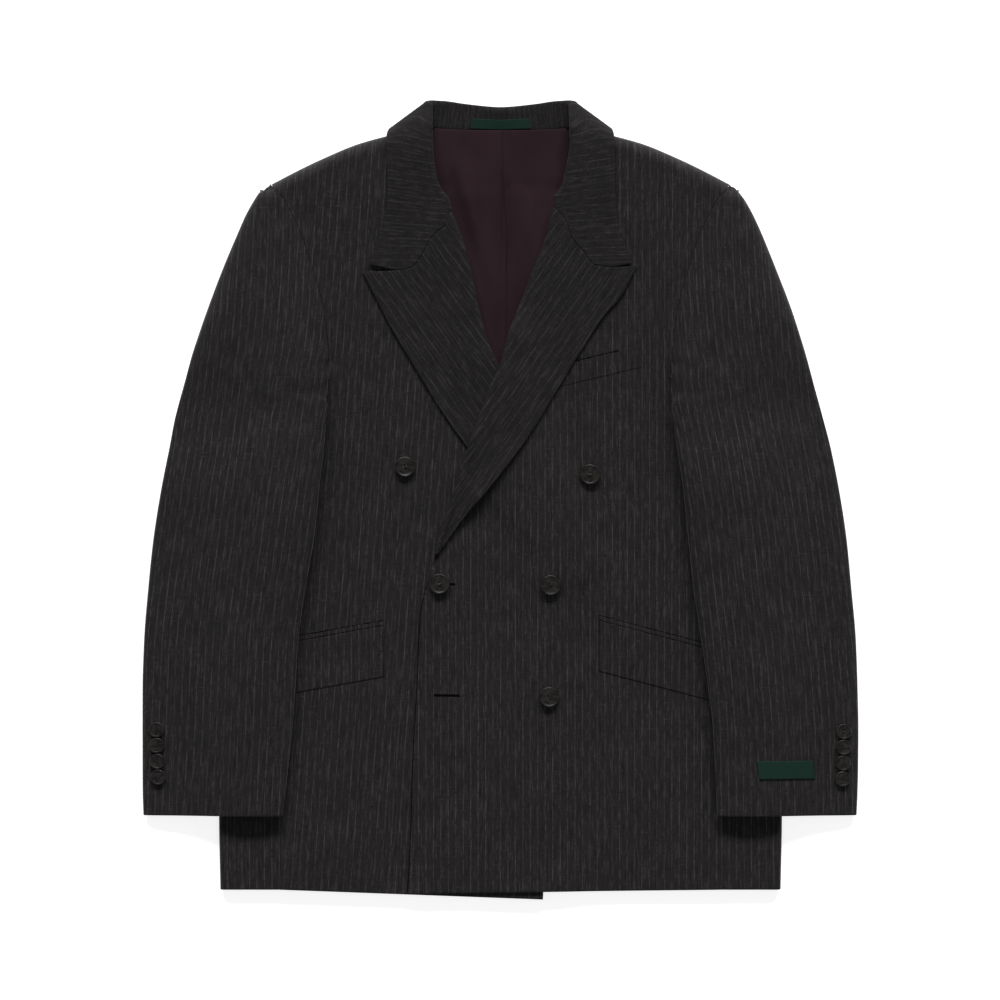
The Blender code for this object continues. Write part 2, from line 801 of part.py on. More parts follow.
def tube_point(side, v, angle, inner, outer, deep):
    """A point of the free sleeve's section; 0 degrees is its outer edge."""
    turn = math.radians(angle)
    middle = (inner + outer) / 2
    reach = (outer - inner) / 2
    equator = deep * 0.45
    rise = math.sin(turn)
    power = 0.8 if rise >= 0.0 else 0.4
    across = math.copysign(abs(math.cos(turn)) ** power, math.cos(turn))
    half = middle + reach * across
    room = deep - equator if rise >= 0.0 else equator
    height = equator + math.copysign(room * abs(rise) ** power, rise)
    low = float(sleeve_rest(side, half, v, STEP_TOP, STEP_FOOT))
    high = float(sleeve_rest(side, half, v, -34.0, 52.0))
    return half, height + low + (high - low) * max(0.0, rise)


def sleeve_top_point(side, v, angle):
    """A point of the top sleeve, free below the underarm and set in above it."""
    inner, outer, deep, crest = sleeve_row(side, v)
    half, height = tube_point(side, v, angle, inner, outer, deep)
    if v >= UNDERARM_V:
        return half, height
    arm = ARMHOLE[side]
    arm_half = float(np.interp(-v, -arm[:, 1], arm[:, 0])) + 2 * SEAM
    arm_z = float(np.interp(-v, -arm[:, 1], arm[:, 2]))
    if v > LAP_START:
        # It laps over the front's corner at the underarm, as the picture shows.
        arm_half += (inner + SEAM - arm_half) * float(ease((v - LAP_START - 11.0) / 12.0))
        over_front = float(body_top(on_side(arm_half, side), v, side > 0))
        arm_z = over_front + (SLEEVE_CLOTH + LAP_CLEAR) * float(ease((v - LAP_START) / 11.0))
    middle = (arm_half + outer) / 2
    equator = min(8.0, crest * 0.4)
    if angle <= 90:
        turn = math.radians(angle)
        rise = math.sin(turn)
        power = 0.8 if rise >= 0.0 else 0.4
        set_half = middle + (outer - middle) * abs(math.cos(turn)) ** power
        room = crest - equator if rise >= 0.0 else equator
        set_height = equator + math.copysign(room * abs(rise) ** power, rise)
    else:
        t = (angle - 90) / 110.0
        set_half = middle + (arm_half - middle) * t
        fullness = 2.0 + 4.0 * ease((v - 290.0) / 90.0)
        set_height = arm_z + (crest - arm_z) * (1 - t ** fullness)
        set_height += ROPING * t ** 3 * (1 - t) * (1 - ease((v - 330.0) / 60.0))
    slide = ease((UNDERARM_V - v) / 13.0)
    sink = slide if angle > 90 else ease((UNDERARM_V - v) / HEAD_BLEND)
    return half + (set_half - half) * slide, height + (set_height - height) * sink


def sleeve_under_point(side, v, share):
    """A point of the under sleeve's lower face."""
    inner, outer, deep, crest = sleeve_row(side, v)
    if v >= UNDERARM_V:
        half = (inner + outer) / 2 + (outer - inner) / 2 * share
        curl = deep * 0.45 * (1 - (1 - abs(share) ** 5) ** 0.2)
        return half, curl + float(sleeve_rest(side, half, v, STEP_TOP, STEP_FOOT))
    t = (share + UNDER_REACH) / (2 * UNDER_REACH)
    arm_v, arm_half = columns(BACK_ROWS, "v", "half")
    start = float(np.interp(-v, -arm_v, arm_half))
    foot_v, foot_height = columns(UNDERARM_FOOT, "v", "height")
    low = float(np.interp(v, foot_v, foot_height))
    if v > foot_v[1] + 1.0:
        start = UNDERARM_HALF
    end, end_height = sleeve_top_point(side, v, -21.5)
    half = start + (end - start) * t
    return half, low * (1 - ease(t / 0.8)) + end_height * ease((t - 0.82) / 0.18)


SLEEVE_STATIONS = (815.6, 790.0, 762.0, 730.0, 690.0, 640.0, 590.0, 540.0, 490.0, 445.0, 420.0,
                   404.0, 391.0, 378.0, 366.0, 355.0, 312.0, 268.0, 233.0, 215.0, 199.5, 194.0, 191.0)


def peaked(side, half, v, height):
    """The sleeve's last row rises to a peak beside the shoulder's end."""
    if v == SLEEVE_STATIONS[-1]:
        peak = max(0.0, 1.0 - ((half - 231.4) / 5.0) ** 2)
        return float(on_side(half, side)), v - 3.8 * peak, height * (1 - 0.25 * peak)
    return float(on_side(half, side)), v, height


def sleeve_top_grid(side):
    rows = []
    for v in SLEEVE_STATIONS:
        line = [sleeve_top_point(side, v, angle) for angle in TOP_ANGLES]
        rows.append([peaked(side, half, v, height) for half, height in line])
    return np.array(rows)


def under_shares(side, v):
    """Places of the under sleeve's columns: over the body, down the step, along
    the table and up the outer edge."""
    edge_v, edge_half = columns(BODY_EDGE, "v", "half")
    row = max(v, UNDERARM_V)
    inner, outer, _, _ = sleeve_row(side, row)
    middle = (inner + outer) / 2
    reach = (outer - inner) / 2
    edge = float(follow(edge_v, edge_half, row))
    top = (edge + STEP_TOP - middle) / reach
    foot = (edge + STEP_FOOT + 1.0 - middle) / reach
    shares = [-UNDER_REACH]
    shares += [-0.9 + (top + 0.9) * t for t in (0.0, 0.4, 0.75, 1.0)]
    shares += [top + (foot - top) * t for t in (0.33, 0.66, 1.0)]
    shares += [foot + (0.84 - foot) * t for t in (0.5, 1.0)]
    return shares + [0.93, UNDER_REACH]


def sleeve_under_grid(side):
    rows = []
    for v in SLEEVE_STATIONS:
        line = [sleeve_under_point(side, v, share) for share in under_shares(side, v)]
        rows.append([peaked(side, half, v, height) for half, height in line])
    return np.array(rows)


# ---------------------------------------------------------------- collar
def collar_stations():
    """Roll, edge and neck points and fold radius, round from right to left."""
    stations = []
    for table, over in ((COLLAR_FRONT_RIGHT, False), (COLLAR_FRONT_LEFT, True)):
        part = []
        side = LEFT if over else RIGHT
        seam = front_grid(over)[::-1, 0]
        seam = seam[seam[:, 1] < 230.0]
        seam_v = seam[:, 1]
        seam_half = np.abs(seam[:, 0] - CENTRE_U)
        for row, high in zip(table[1:], COLLAR_FRONT_HEIGHT[1:]):
            roll_u, roll_v, edge_u, edge_v, neck_v, fold = row
            roll_z, edge_z, neck_z = high
            inset = roll_u + (edge_u - roll_u) * 0.1
            level = float(front_base(inset, roll_v, over))
            roll_z = roll_z or level + COLLAR_CLOTH / 2 + fold
            edge_z = edge_z or float(body_top(edge_u, edge_v, over)) + LAPEL_EDGE_GAP + COLLAR_CLOTH / 2
            neck_z = neck_z or level + BODY_CLOTH / 2
            gap = NECK_SEAM + 0.9 * float(ease((150.0 - neck_v) / 12.0))
            neck_half = float(np.interp(neck_v, seam_v, seam_half)) - gap
            part.append((
                np.array([roll_u, roll_v, roll_z]),
                np.array([edge_u, edge_v, edge_z]),
                np.array([float(on_side(neck_half, side)), neck_v, neck_z]),
                fold,
            ))
        for row in COLLAR_BACK[1:]:
            roll_half, roll_v, roll_z, edge_half, edge_v, edge_z, neck_half, neck_v, neck_z, fold = row
            part.append((
                np.array([float(on_side(roll_half, side)), roll_v, roll_z]),
                np.array([float(on_side(edge_half, side)), edge_v, edge_z]),
                np.array([float(on_side(neck_half, side)), neck_v, neck_z]),
                fold,
            ))
        stations.append(part)
    right, left = stations
    return right + left[-2::-1]


def collar_corner(over, tip):
    """Front end of the collar, along the gorge and on to its point."""
    gorge = gorge_points(over, 0.0)
    corner = np.vstack([gorge, (gorge[-1] + tip) / 2, tip])
    run = np.concatenate([[0.0], np.cumsum(np.linalg.norm(np.diff(corner, axis=0), axis=1))])
    return run / run[-1], corner


def collar_fall(station, steps, corner, from_end):
    """Points of the fall from its outer edge back to the fold."""
    start, edge = station
    bow = corner - (corner[0] + np.outer(steps, corner[-1] - corner[0]))
    fade = max(0.0, 1.0 - from_end / 4.0) ** 1.6
    power = 1.8 if from_end < 8 else 3.0
    line = []
    for t, at_end, bend in reversed(list(zip(steps, corner, bow))):
        spot = start + (edge - start) * t
        if from_end == 0:
            spot[:2] = at_end if t > 0.0 else start[:2]
        else:
            spot[:2] += bend * fade
        spot[2] = edge[2] + (start[2] - edge[2]) * (1 - t) ** power
        line.append(spot)
    return line


def collar_grid():
    """Rows round the neck: outer edge, fall, fold and stand."""
    stations = collar_stations()
    last = len(stations) - 1
    ends = {
        False: collar_corner(False, stations[0][1][:2]),
        True: collar_corner(True, stations[last][1][:2]),
    }
    rows = []
    for k, (roll, edge, neck, fold) in enumerate(stations):
        to_edge = unit(edge - roll)
        to_neck = unit(neck - roll)
        bisect = unit(to_edge + to_neck)
        apart = unit(to_edge - to_neck)
        middle = roll + bisect * (fold + COLLAR_CLOTH / 2)
        steps, corner = ends[k > last / 2]
        line = collar_fall((middle + apart * fold, edge), steps, corner, min(k, last - k))
        for angle in (50, 15, -15, -50, -90):
            turn = math.radians(angle)
            line.append(middle + fold * (apart * math.sin(turn) - bisect * math.cos(turn)))
        low = middle - apart * fold
        for t in (0.35, 0.7, 1.0):
            line.append(low + (neck - low) * t)
        rows.append(line)
    return np.array(rows)


# ---------------------------------------------------------------- pieces
def build_body(suiting, lining):
    for name, side in (("left", LEFT), ("right", RIGHT)):
        slab("back_" + name, back_grid(side), BODY_CLOTH, suiting)
        panel = side_grid(side)
        cloth("side_" + name, panel, BODY_CLOTH, suiting, facing(panel, 0))
        front = front_grid(side > 0)
        cloth("front_" + name, front, BODY_CLOTH, suiting, facing(front, 4))
    for name, over in (("lapel_left", True), ("lapel_right", False)):
        lapel = lapel_grid(over)
        cloth_about(name, lapel, LAPEL_CLOTH, suiting, [(-1, 7, len(lapel[0]) - 1)])
    cloth_about("collar", collar_grid(), COLLAR_CLOTH, suiting, [(0, 0, 6), (-1, 0, 6)])
    build_lining(lining)


def lining_grid():
    rows = []
    for v in (133.0, 150.0, 170.0, 190.0, 212.0, 235.0, 265.0, 300.0, 345.0, 400.0):
        wide = np.interp(v, [133.0, 150.0, 260.0, 400.0], [66.0, 78.0, 74.0, 52.0])
        line = []
        for share in (-1.0, -0.6, -0.3, -0.08, 0.0, 0.06, 0.13, 0.3, 0.6, 1.0):
            u = CENTRE_U + share * wide
            pleat = 2.6 * math.exp(-((u - CENTRE_U - 2.5) / 4.0) ** 2) * float(ease((345.0 - v) / 160.0))
            height = BODY_CLOTH + float(neck_raise(u, v)) + LAY + 0.1 + LINING_CLOTH + pleat
            line.append((u, v, height))
        rows.append(line)
    return np.array(rows)


def build_lining(lining):
    slab("lining_back", lining_grid(), LINING_CLOTH, lining)


def parted(sheet, axis, at):
    """Cut a sheet, its points and normals, in two at a place along an axis."""
    first = math.ceil(at) - 1
    points = np.moveaxis(sheet[0], axis, 0)
    halves = ([], [])
    for values in sheet:
        values = np.moveaxis(values, axis, 0)
        for half, cell, sign in ((0, first, -1.0), (1, math.floor(at), 1.0)):
            long = np.linalg.norm(points[cell + 1] - points[cell], axis=-1, keepdims=True)
            share = at - cell + sign * SEAM / 2 / long
            edge = values[cell] + (values[cell + 1] - values[cell]) * share
            rest = values[:cell + 1] if half == 0 else values[cell + 1:]
            joined = [rest, edge[None]] if half == 0 else [edge[None], rest]
            halves[half].append(np.moveaxis(np.concatenate(joined), 0, axis))
    return halves


def build_sleeves(suiting):
    for name, side in (("left", LEFT), ("right", RIGHT)):
        top = sleeve_top_grid(side)
        under = sleeve_under_grid(side)
        top_out = facing(top, 7)
        under_out = facing(under, 5, -1.0)
        free = np.array(SLEEVE_STATIONS) >= UNDERARM_V
        outer = unit(top_out[:, 0] + under_out[:, -1])
        inner = unit(top_out[:, -1] + under_out[:, 0])
        top_out[:, 0] = outer
        under_out[:, -1] = outer
        top_out[free, -1] = inner[free]
        under_out[free, 0] = inner[free]
        top_out[~free, -1] = (0.0, 0.0, 1.0)
        arm, crown = parted((top, top_out), 0, TOP_HEAD_ROW)
        lower, head = parted((under, under_out), 0, UNDER_HEAD_ROW)
        over_body, on_table = parted(lower, 1, UNDER_FOOT_COLUMN)
        strips = (("top", "", arm), ("top", "_head", crown), ("under", "", on_table),
                  ("under", "_inner", over_body), ("under", "_head", head))
        for half, ending, (outer, normals) in strips:
            cloth("sleeve_" + half + "_" + name + ending, outer, SLEEVE_CLOTH, suiting, normals)


def pocket_point(side, inner_half, top_v, slope, along, down):
    half = inner_half + along
    u = float(on_side(half, side))
    v = top_v + slope * along + down
    return u, v


def build_pockets(suiting):
    for name, row in (("left", POCKETS[1]), ("right", POCKETS[2])):
        side, inner_half, top_v, slope, long, tall = row
        over = side > 0
        flap = []
        for down in np.linspace(0.0, 1.0, 5):
            line = []
            for share in np.linspace(0.0, 1.0, 9):
                along = long * share
                corner = max(0.0, along - (long - 14.0)) / 14.0
                drop = down * (tall - 14.0 * (1 - math.sqrt(1 - corner * corner)))
                u, v = pocket_point(side, inner_half, top_v, slope, along, drop)
                line.append((u, v, float(body_top(u, v, over)) + 2 * SEAM + FLAP_CLOTH))
            flap.append(line)
        slab("flap_" + name, flap, FLAP_CLOTH, suiting)
        jet = []
        for down in (-JET_TALL - SEAM, -SEAM):
            line = []
            for share in np.linspace(0.0, 1.0, 9):
                u, v = pocket_point(side, inner_half, top_v, slope, long * share, down)
                line.append((u, v, float(body_top(u, v, over)) + 2 * SEAM + JET_CLOTH))
            jet.append(line)
        slab("jet_" + name, jet, JET_CLOTH, suiting)


def build_welt(suiting):
    """The breast welt, its inner end under the lapel."""
    rows = []
    for down in (0.0, 0.5, 1.0):
        line = []
        for share in np.linspace(0.0, 1.0, 7):
            u = 556.0 + 84.0 * share + 2.0 * down
            v = 365.5 - 20.0 * share + 21.5 * down
            line.append((u, v, float(body_top(u, v, True)) + SEAM + JET_CLOTH))
        rows.append(line)
    slab("breast_welt", rows, JET_CLOTH, suiting)


def build_labels(woven):
    """Bare labels: one inside the neck, one on the left cuff."""
    grid = collar_grid()
    points = to_space(grid)
    normals = grid_normals(points)
    middle = len(grid) // 2
    lift = (COLLAR_CLOTH / 2 + 0.35) * MM
    face_rows = []
    for share in (0.30, 0.56, 0.82):
        line = []
        for offset in np.linspace(-1.0, 1.0, 5):
            k = middle + offset
            low = int(math.floor(k))
            t = k - low
            high = min(low + 1, len(grid) - 1)
            a = points[low] * (1 - t) + points[high] * t
            n = normals[low] * (1 - t) + normals[high] * t
            spot = a[-4] * (1 - share) + a[-1] * share
            up = n[-2] if n[-2][2] > 0 else -n[-2]
            line.append(spot + up * lift)
        face_rows.append(line)
    low = np.array(face_rows)
    high = low + np.array([0.0, 0.0, LABEL_CLOTH * MM])
    place("label_neck", closed_mesh("label_neck", high, low), woven)

    rows = []
    for down in np.linspace(0.0, 1.0, 4):
        line = []
        for share in np.linspace(0.0, 1.0, 7):
            u = 756.0 + 56.6 * share + 2.0 * down
            v = 760.4 + 18.0 * down
            line.append((u, v, sleeve_height(LEFT, u - CENTRE_U, v) + 0.4 + LABEL_CLOTH))
        rows.append(line)
    slab("label_sleeve", rows, LABEL_CLOTH, woven)


def sleeve_angle(side, half, v):
    """The section angle at which the top sleeve is half from the centre."""
    low, high = 1.0, 179.0
    for _ in range(40):
        mid = (low + high) / 2
        if sleeve_top_point(side, v, mid)[0] > half:
            low = mid
        else:
            high = mid
    return (low + high) / 2


def sleeve_height(side, half, v):
    return sleeve_top_point(side, v, sleeve_angle(side, half, v))[1]


def button_mesh(name, radius, sides):
    """A turned button with a raised rim, on its thread shank."""
    profile = (
        (SHANK_SHARE, 0.00),
        (SHANK_SHARE, 0.12),
        (0.86, 0.15),
        (1.00, 0.25),
        (1.00, 0.36),
        (0.90, 0.43),
        (0.72, 0.36),
    )
    points = [(0.0, 0.0, 0.0)]
    for share, high in profile:
        for k in range(sides):
            turn = 2 * math.pi * k / sides
            points.append((share * radius * math.cos(turn), share * radius * math.sin(turn), high * radius))
    points.append((0.0, 0.0, 0.34 * radius))
    triangles = []
    for k in range(sides):
        after = (k + 1) % sides
        triangles.append((0, 1 + after, 1 + k))
        for ring in range(len(profile) - 1):
            a = 1 + ring * sides + k
            b = 1 + ring * sides + after
            triangles.append((a, b, b + sides))
            triangles.append((a, b + sides, a + sides))
        top = 1 + (len(profile) - 1) * sides
        triangles.append((top + k, top + after, len(points) - 1))
    mesh = bpy.data.meshes.new(name)
    mesh.from_pydata((np.array(points) * MM).tolist(), [], triangles)
    mesh.update()
    return mesh


def height_on(name, u, v):
    """Height in mm of a piece's upper face at a point of the table."""
    mesh = bpy.data.objects[name].data
    points = [vertex.co for vertex in mesh.vertices]
    faces = [tuple(face.vertices) for face in mesh.polygons]
    above = Vector(to_space(np.array((u, v, 200.0))).tolist())
    hit, _, _, _ = BVHTree.FromPolygons(points, faces).ray_cast(above, Vector((0.0, 0.0, -1.0)))
    return hit.z / MM


def seat(button, carrier, u, v, radius, up):
    """Stand a button's shank SEAM above the piece that carries it."""
    up = Vector(up).normalized()
    shank = radius * SHANK_SHARE
    high = height_on(carrier, u, v)
    for k in range(8):
        turn = math.radians(45.0 * k)
        du = shank * math.cos(turn)
        dv = shank * math.sin(turn)
        slope = (du * up.x - dv * up.y) / up.z
        high = max(high, height_on(carrier, u + du, v + dv) + slope)
    spot = Vector(to_space(np.array((u, v, high + SEAM))).tolist())
    turned = up.to_track_quat("Z", "Y").to_matrix().to_4x4()
    button.matrix_world = Matrix.Translation(spot) @ turned


def build_buttons(horn):
    for number, (u, v, tilt, toward) in enumerate(FRONT_BUTTONS[1:], start=1):
        name = "button_front_%d" % number
        over = number != 1
        body = place(name, button_mesh(name, BUTTON_RADIUS, 16), horn)
        lean = math.sin(math.radians(tilt))
        turn = math.radians(toward)
        up = (lean * math.cos(turn), lean * math.sin(turn), 1.0)
        seat(body, "front_left" if over else "front_right", u, v, BUTTON_RADIUS, up)
    counts = {LEFT: 0, RIGHT: 0}
    for side, v, half in CUFF_BUTTONS[1:]:
        counts[side] += 1
        word = "left" if side > 0 else "right"
        name = "button_cuff_%s_%d" % (word, counts[side])
        body = place(name, button_mesh(name, CUFF_BUTTON_RADIUS, 12), horn)
        slope = (sleeve_height(side, half + 1.0, v) - sleeve_height(side, half - 1.0, v)) / 2
        up = (-slope * side, 0.0, 1.0)
        seat(body, "sleeve_top_" + word, float(on_side(half, side)), v, CUFF_BUTTON_RADIUS, up)


def clear_scene():
    for old in list(bpy.data.objects):
        bpy.data.objects.remove(old, do_unlink=True)


clear_scene()
ARMHOLE = {LEFT: front_edge(LEFT), RIGHT: front_edge(RIGHT)}
SUITING = material("suiting", (0.020, 0.019, 0.020), 0.85)
LINING = material("lining", (0.030, 0.020, 0.024), 0.45)
WOVEN = material("woven_label", (0.010, 0.025, 0.019), 0.60)
HORN = material("horn", (0.018, 0.018, 0.018), 0.35)
build_body(SUITING, LINING)
build_sleeves(SUITING)
build_pockets(SUITING)
build_welt(SUITING)
build_labels(WOVEN)
build_buttons(HORN)
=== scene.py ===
"""Looks of the double breasted blazer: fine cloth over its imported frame.

Tables are in millimetres on a one-metre cutting table, as in the part's source:
u runs right, v runs down, z is height. The wearer's left is on the right (+X).
"""

import json
import math

import bmesh
import bpy
import numpy as np
from mathutils import Matrix, Vector

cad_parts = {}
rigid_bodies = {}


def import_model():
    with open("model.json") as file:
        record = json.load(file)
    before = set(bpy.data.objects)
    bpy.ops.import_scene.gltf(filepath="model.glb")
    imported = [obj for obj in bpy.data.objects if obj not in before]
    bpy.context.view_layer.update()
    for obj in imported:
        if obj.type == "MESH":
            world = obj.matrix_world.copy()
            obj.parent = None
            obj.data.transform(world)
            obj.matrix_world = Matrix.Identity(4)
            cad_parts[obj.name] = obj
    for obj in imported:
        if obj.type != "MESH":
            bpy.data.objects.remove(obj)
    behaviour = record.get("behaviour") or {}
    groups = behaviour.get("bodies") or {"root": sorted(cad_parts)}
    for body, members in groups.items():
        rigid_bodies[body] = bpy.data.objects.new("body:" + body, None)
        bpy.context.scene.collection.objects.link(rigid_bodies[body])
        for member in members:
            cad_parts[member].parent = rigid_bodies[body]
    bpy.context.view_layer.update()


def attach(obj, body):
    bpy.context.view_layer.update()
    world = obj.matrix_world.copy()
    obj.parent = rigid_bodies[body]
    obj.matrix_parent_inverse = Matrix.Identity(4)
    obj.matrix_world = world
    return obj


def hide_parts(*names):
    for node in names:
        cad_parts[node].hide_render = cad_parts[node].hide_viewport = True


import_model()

# ---------------------------------------------------------------- driving sizes
MM = 0.001
CENTRE_U = 500.5            # centre back line on the cutting table
CENTRE_V = 500.0            # middle of the blazer's length

BODY_CLOTH = 2.0            # suiting with its canvas
LAPEL_CLOTH = 2.4           # suiting turned back on itself
COLLAR_CLOTH = 2.4
SLEEVE_CLOTH = 1.8
LINING_CLOTH = 1.0
LABEL_CLOTH = 1.0
FACED_CLOTH = 1.8           # lapels and collar as the scene shows them
LINING_SHEET = 0.8          # the lining as the scene shows it
FLAP_THICK = (1.3, 0.6)     # a flap at its top and at its lower edge
WELT_THICK = (0.9, 0.3)     # the breast welt at its upper and its lower edge

SEAM = 0.3                  # gap between pieces at a seam
LAY = 0.8                   # gap between layers that lie loose
OVERLAP_LIFT = 2.8          # what the under front lifts the over front
LAPEL_LIFT = 4.6            # what the tucked lapel adds to that
NECK_RAISE = 3.6            # what the collar beneath lifts the back
GORGE_GAP = 0.12            # sewn gap at the gorge; the solids keep more
NECK_SEAM = 1.0             # gap between the collar and the neck edge it stands on
ROPING = 9.0                # fullness of the sleeve's head beside its seam
SLEEVE_REST = 3.4           # height of a sleeve over the body's cloth
LAPEL_EDGE_GAP = 2.0        # height of a lapel's edge over the front
SHOULDER_GAP = 0.7          # height of the front's shoulder edge over the back
UNDERARM_HALF = 192.0       # where the under sleeve starts below the underarm
LAPEL_TUCK = 34.0           # how far in from the tucked lapel's edge its lift starts
LIFT_REACH = 46.0           # how far past the under front's edge its lift ends

BUTTON_RADIUS = 10.3
CUFF_BUTTON_RADIUS = 7.7
SHANK_SHARE = 0.24          # thread shank's radius as a share of the button's

LEFT = 1.0                  # wearer's left, +X
RIGHT = -1.0


def table(names, *numbers):
    """Rows of numbers, with a column for each of the names."""
    return np.array(numbers, float).reshape(-1, len(names.split()))


# ---------------------------------------------------------------- pattern tables
# Room inside the body between its back and its front.
BODY_ROOM = table("v centre chest side",
    100, 17, 21, 20,  150, 17, 22, 21,  180, 16.5, 22, 21,  230, 14.5, 20, 20,  300, 12, 18, 16.5,
    400, 10, 14.5, 9,  500, 9, 12, 8,  600, 8, 10, 7.5,  700, 7.5, 8.5, 7,  800, 7, 7.5, 6.5,
    900, 6.5, 6.5, 6.2)

# Distance of the folded body edge from the centre.
BODY_EDGE = table("v half",
    404, 266,  450, 264,  520, 263,  600, 266,  680, 273,  760, 279.5,  840, 282.3,  892, 280.5)

# Straight seams of the side panel, as distance from the centre.
UNDERARM_V = 404.0
HEM_V = 890.0
SIDE_ROWS = (HEM_V, 815.0, 740.0, 660.0, 580.0, 500.0, 440.0, UNDERARM_V)
LAPEL_FOOT_V = 556.0        # where both roll lines start
FRONT_SEAM = table("v half", 404, 199.5, 890, 221.5)
BACK_SEAM = table("v half", 404, 234.5, 890, 247.5)

# Free edge of each front, hem to the end of its lapel.
OVER_EDGE = table("u v", 408, 893.6, 411, 837, 412, 791, 418, 676, 422, 600, 434, 556)
UNDER_EDGE = table("u v", 543, 899.8, 548, 800, 555, 690, 562, 600, 567, 556)

# Roll line of each lapel, from its lower end to the collar.
OVER_ROLL = table("u v",
    434, 556,  438, 544,  442, 523,  449.5, 502,  461, 468,  467, 452,  474, 426,  482, 406.5,
    490, 385.5,  499, 366,  509, 329,  521, 300,  534, 265,  541, 246,  549, 230,  552.5, 207.5)
UNDER_ROLL = table("u v",
    567, 556,  549, 508,  530, 455,  512, 404,  498, 363,  491, 348,  480, 310,  468, 256,
    457, 222,  452.5, 211.5)

# Outer radius of each lapel's roll along it.
ROLL_RADIUS = table("share over under",
    0, 3.4, 2.6,  0.12, 4.8, 3,  0.35, 4.6, 3.2,  0.55, 4.2, 3.3,  0.7, 3.9, 3.8,  1, 3.8, 3.8)

# Outer edge of each lapel, from its lower end to the peak.
OVER_LAPEL_EDGE = table("u v",
    438.5, 553.5,  449, 539,  465, 516,  492, 485,  513, 458,  532, 431,  572, 366,  600.6, 321,
    631, 281,  636.5, 266)
UNDER_LAPEL_EDGE = table("u v",
    562.5, 553.5,  552, 541,  515, 503,  467, 447,  446, 418,  426.5, 387,  413, 365,  396, 337,
    362.4, 272.2)

# Seam between collar and lapel, from the roll line to the notch.
OVER_GORGE = table("u v", 552.5, 207, 565, 219, 570, 235, 582, 249, 588, 262, 598, 266, 613, 267.5)
UNDER_GORGE = table("u v",
    452.5, 211,  447, 223,  433.5, 235,  428, 244,  421, 256.5,  410, 268.5,  396, 270.6)

# Rows of a front: place along the free edge (0 hem, 1 lapel's end, 2 gorge,
# 3 shoulder), and the outer end, as distance from the centre.
FRONT_ROWS = table("along half v",
    0, 221.5, 890,  0.17, 219, 835,  0.4, 215.5, 757,  0.62, 212, 680,  0.82, 208.9, 612,
    1, 206.4, 556,  1.11, 204.3, 510,  1.23, 202.3, 465,  1.35, 200.5, 427,  1.43, 199.5, 404,
    1.49, 187.5, 391,  1.55, 175.5, 378,  1.63, 171.2, 355,  1.73, 176, 312,  1.82, 187.5, 268,
    1.91, 199.5, 233,  2, 207.5, 215,  2.3, 212.5, 206,  2.65, 217.5, 198.2,  3, 220.5, 194)

# Neck edge of a front, gorge to the shoulder, as distance from the centre.
FRONT_NECK = table("half v", 55, 214, 62, 200, 67.5, 187, 73.5, 165, 76, 143.5)
# Shoulder line from the neck to the armhole, as distance from the centre.
SHOULDER = table("half v",
    73.8, 128.6,  95, 130.6,  110.5, 134.6,  125, 138.4,  142.5, 143.4,  180, 158.8,  208, 172.4,
    229.6, 183.8)
# Depth of the shoulder's turn, measured on the table at each end.
TURN_AT_NECK = (2.2, 15.0)
TURN_AT_ARM = (-9.1, 10.2)

# Rows of the lining, half its width along them, and its columns as shares of that.
LINING_ROWS = (133.0, 150.0, 170.0, 190.0, 212.0, 235.0, 265.0, 300.0, 345.0, 400.0)
LINING_HALF = table("v half", 133, 66, 150, 78, 260, 74, 400, 52)
LINING_SHARES = (-1.0, -0.6, -0.3, -0.08, 0.0, 0.06, 0.13, 0.3, 0.6, 1.0)
PLEAT_END_V = 345.0

# Rows of the back: centre seam, then the outer end.
BACK_ROWS = table("centre_v half v",
    887, 247.2, 887,  760, 243.9, 757,  640, 240.5, 640,  520, 237.5, 520,  415, 234.5, 404,
    385, 221, 391,  365, 205.5, 378,  340, 202.5, 355,  300, 201.5, 312,  262, 203.5, 268,
    232, 207.5, 233,  212, 211, 215,  192, 217.5, 199.5,  172, 221, 194,  150, 224.2, 190,
    131.6, 229, 184.3)
BACK_TOP = table("half v",
    0, 131.6,  30, 130.8,  60, 130,  73.6, 129.4,  95, 131,  110.5, 135,  142.5, 143.8,
    180, 159.2,  208, 172.8,  229, 184.3)

# Sleeve sections, cuff to shoulder. Edges are distances from the centre on each
# side; deep is the tube's height; crest the cloth's height on the shoulder.
SLEEVE_ROWS = table("v inner_left outer_left inner_right outer_right deep crest",
    815.6, 216.5, 356.6, 217.6, 357.6, 13, 29,  785, 215, 357.8, 214, 358.4, 14, 29,
    735, 212.6, 358.4, 208.4, 358.5, 15, 29,  690, 207.5, 357.6, 204.8, 358.4, 16, 29,
    640, 200.3, 355.8, 201.8, 356.8, 17, 29,  590, 192.7, 351.4, 194.8, 352.8, 17.5, 29,
    540, 187.2, 346.6, 186.2, 347.6, 18, 29,  490, 182.2, 339, 180.8, 339.8, 18, 29,
    445, 175.6, 330, 175.8, 331, 15.5, 30,  420, 172.4, 323.6, 173.8, 326.4, 13, 30.5,
    404, 170.6, 319.3, 172.6, 322.4, 12, 31,  391, 170.6, 315.7, 172.4, 318.8, 12, 31,
    378, 170.6, 312.2, 172.2, 315.2, 12, 31,  355, 171, 306, 172, 309, 12, 30.6,
    312, 176, 292.4, 173, 294.4, 12, 29.8,  268, 187.5, 275.6, 187.5, 277.8, 15, 28.6,
    233, 199.5, 261.3, 199.5, 263, 15, 27,  215, 207.5, 253, 207.5, 255, 15, 26,
    199.5, 216.5, 244.2, 216.5, 246.2, 15, 24,  194, 220.5, 240, 220.5, 242.6, 15, 21.5,
    191, 223.2, 237.6, 223.2, 239.8, 15, 18)
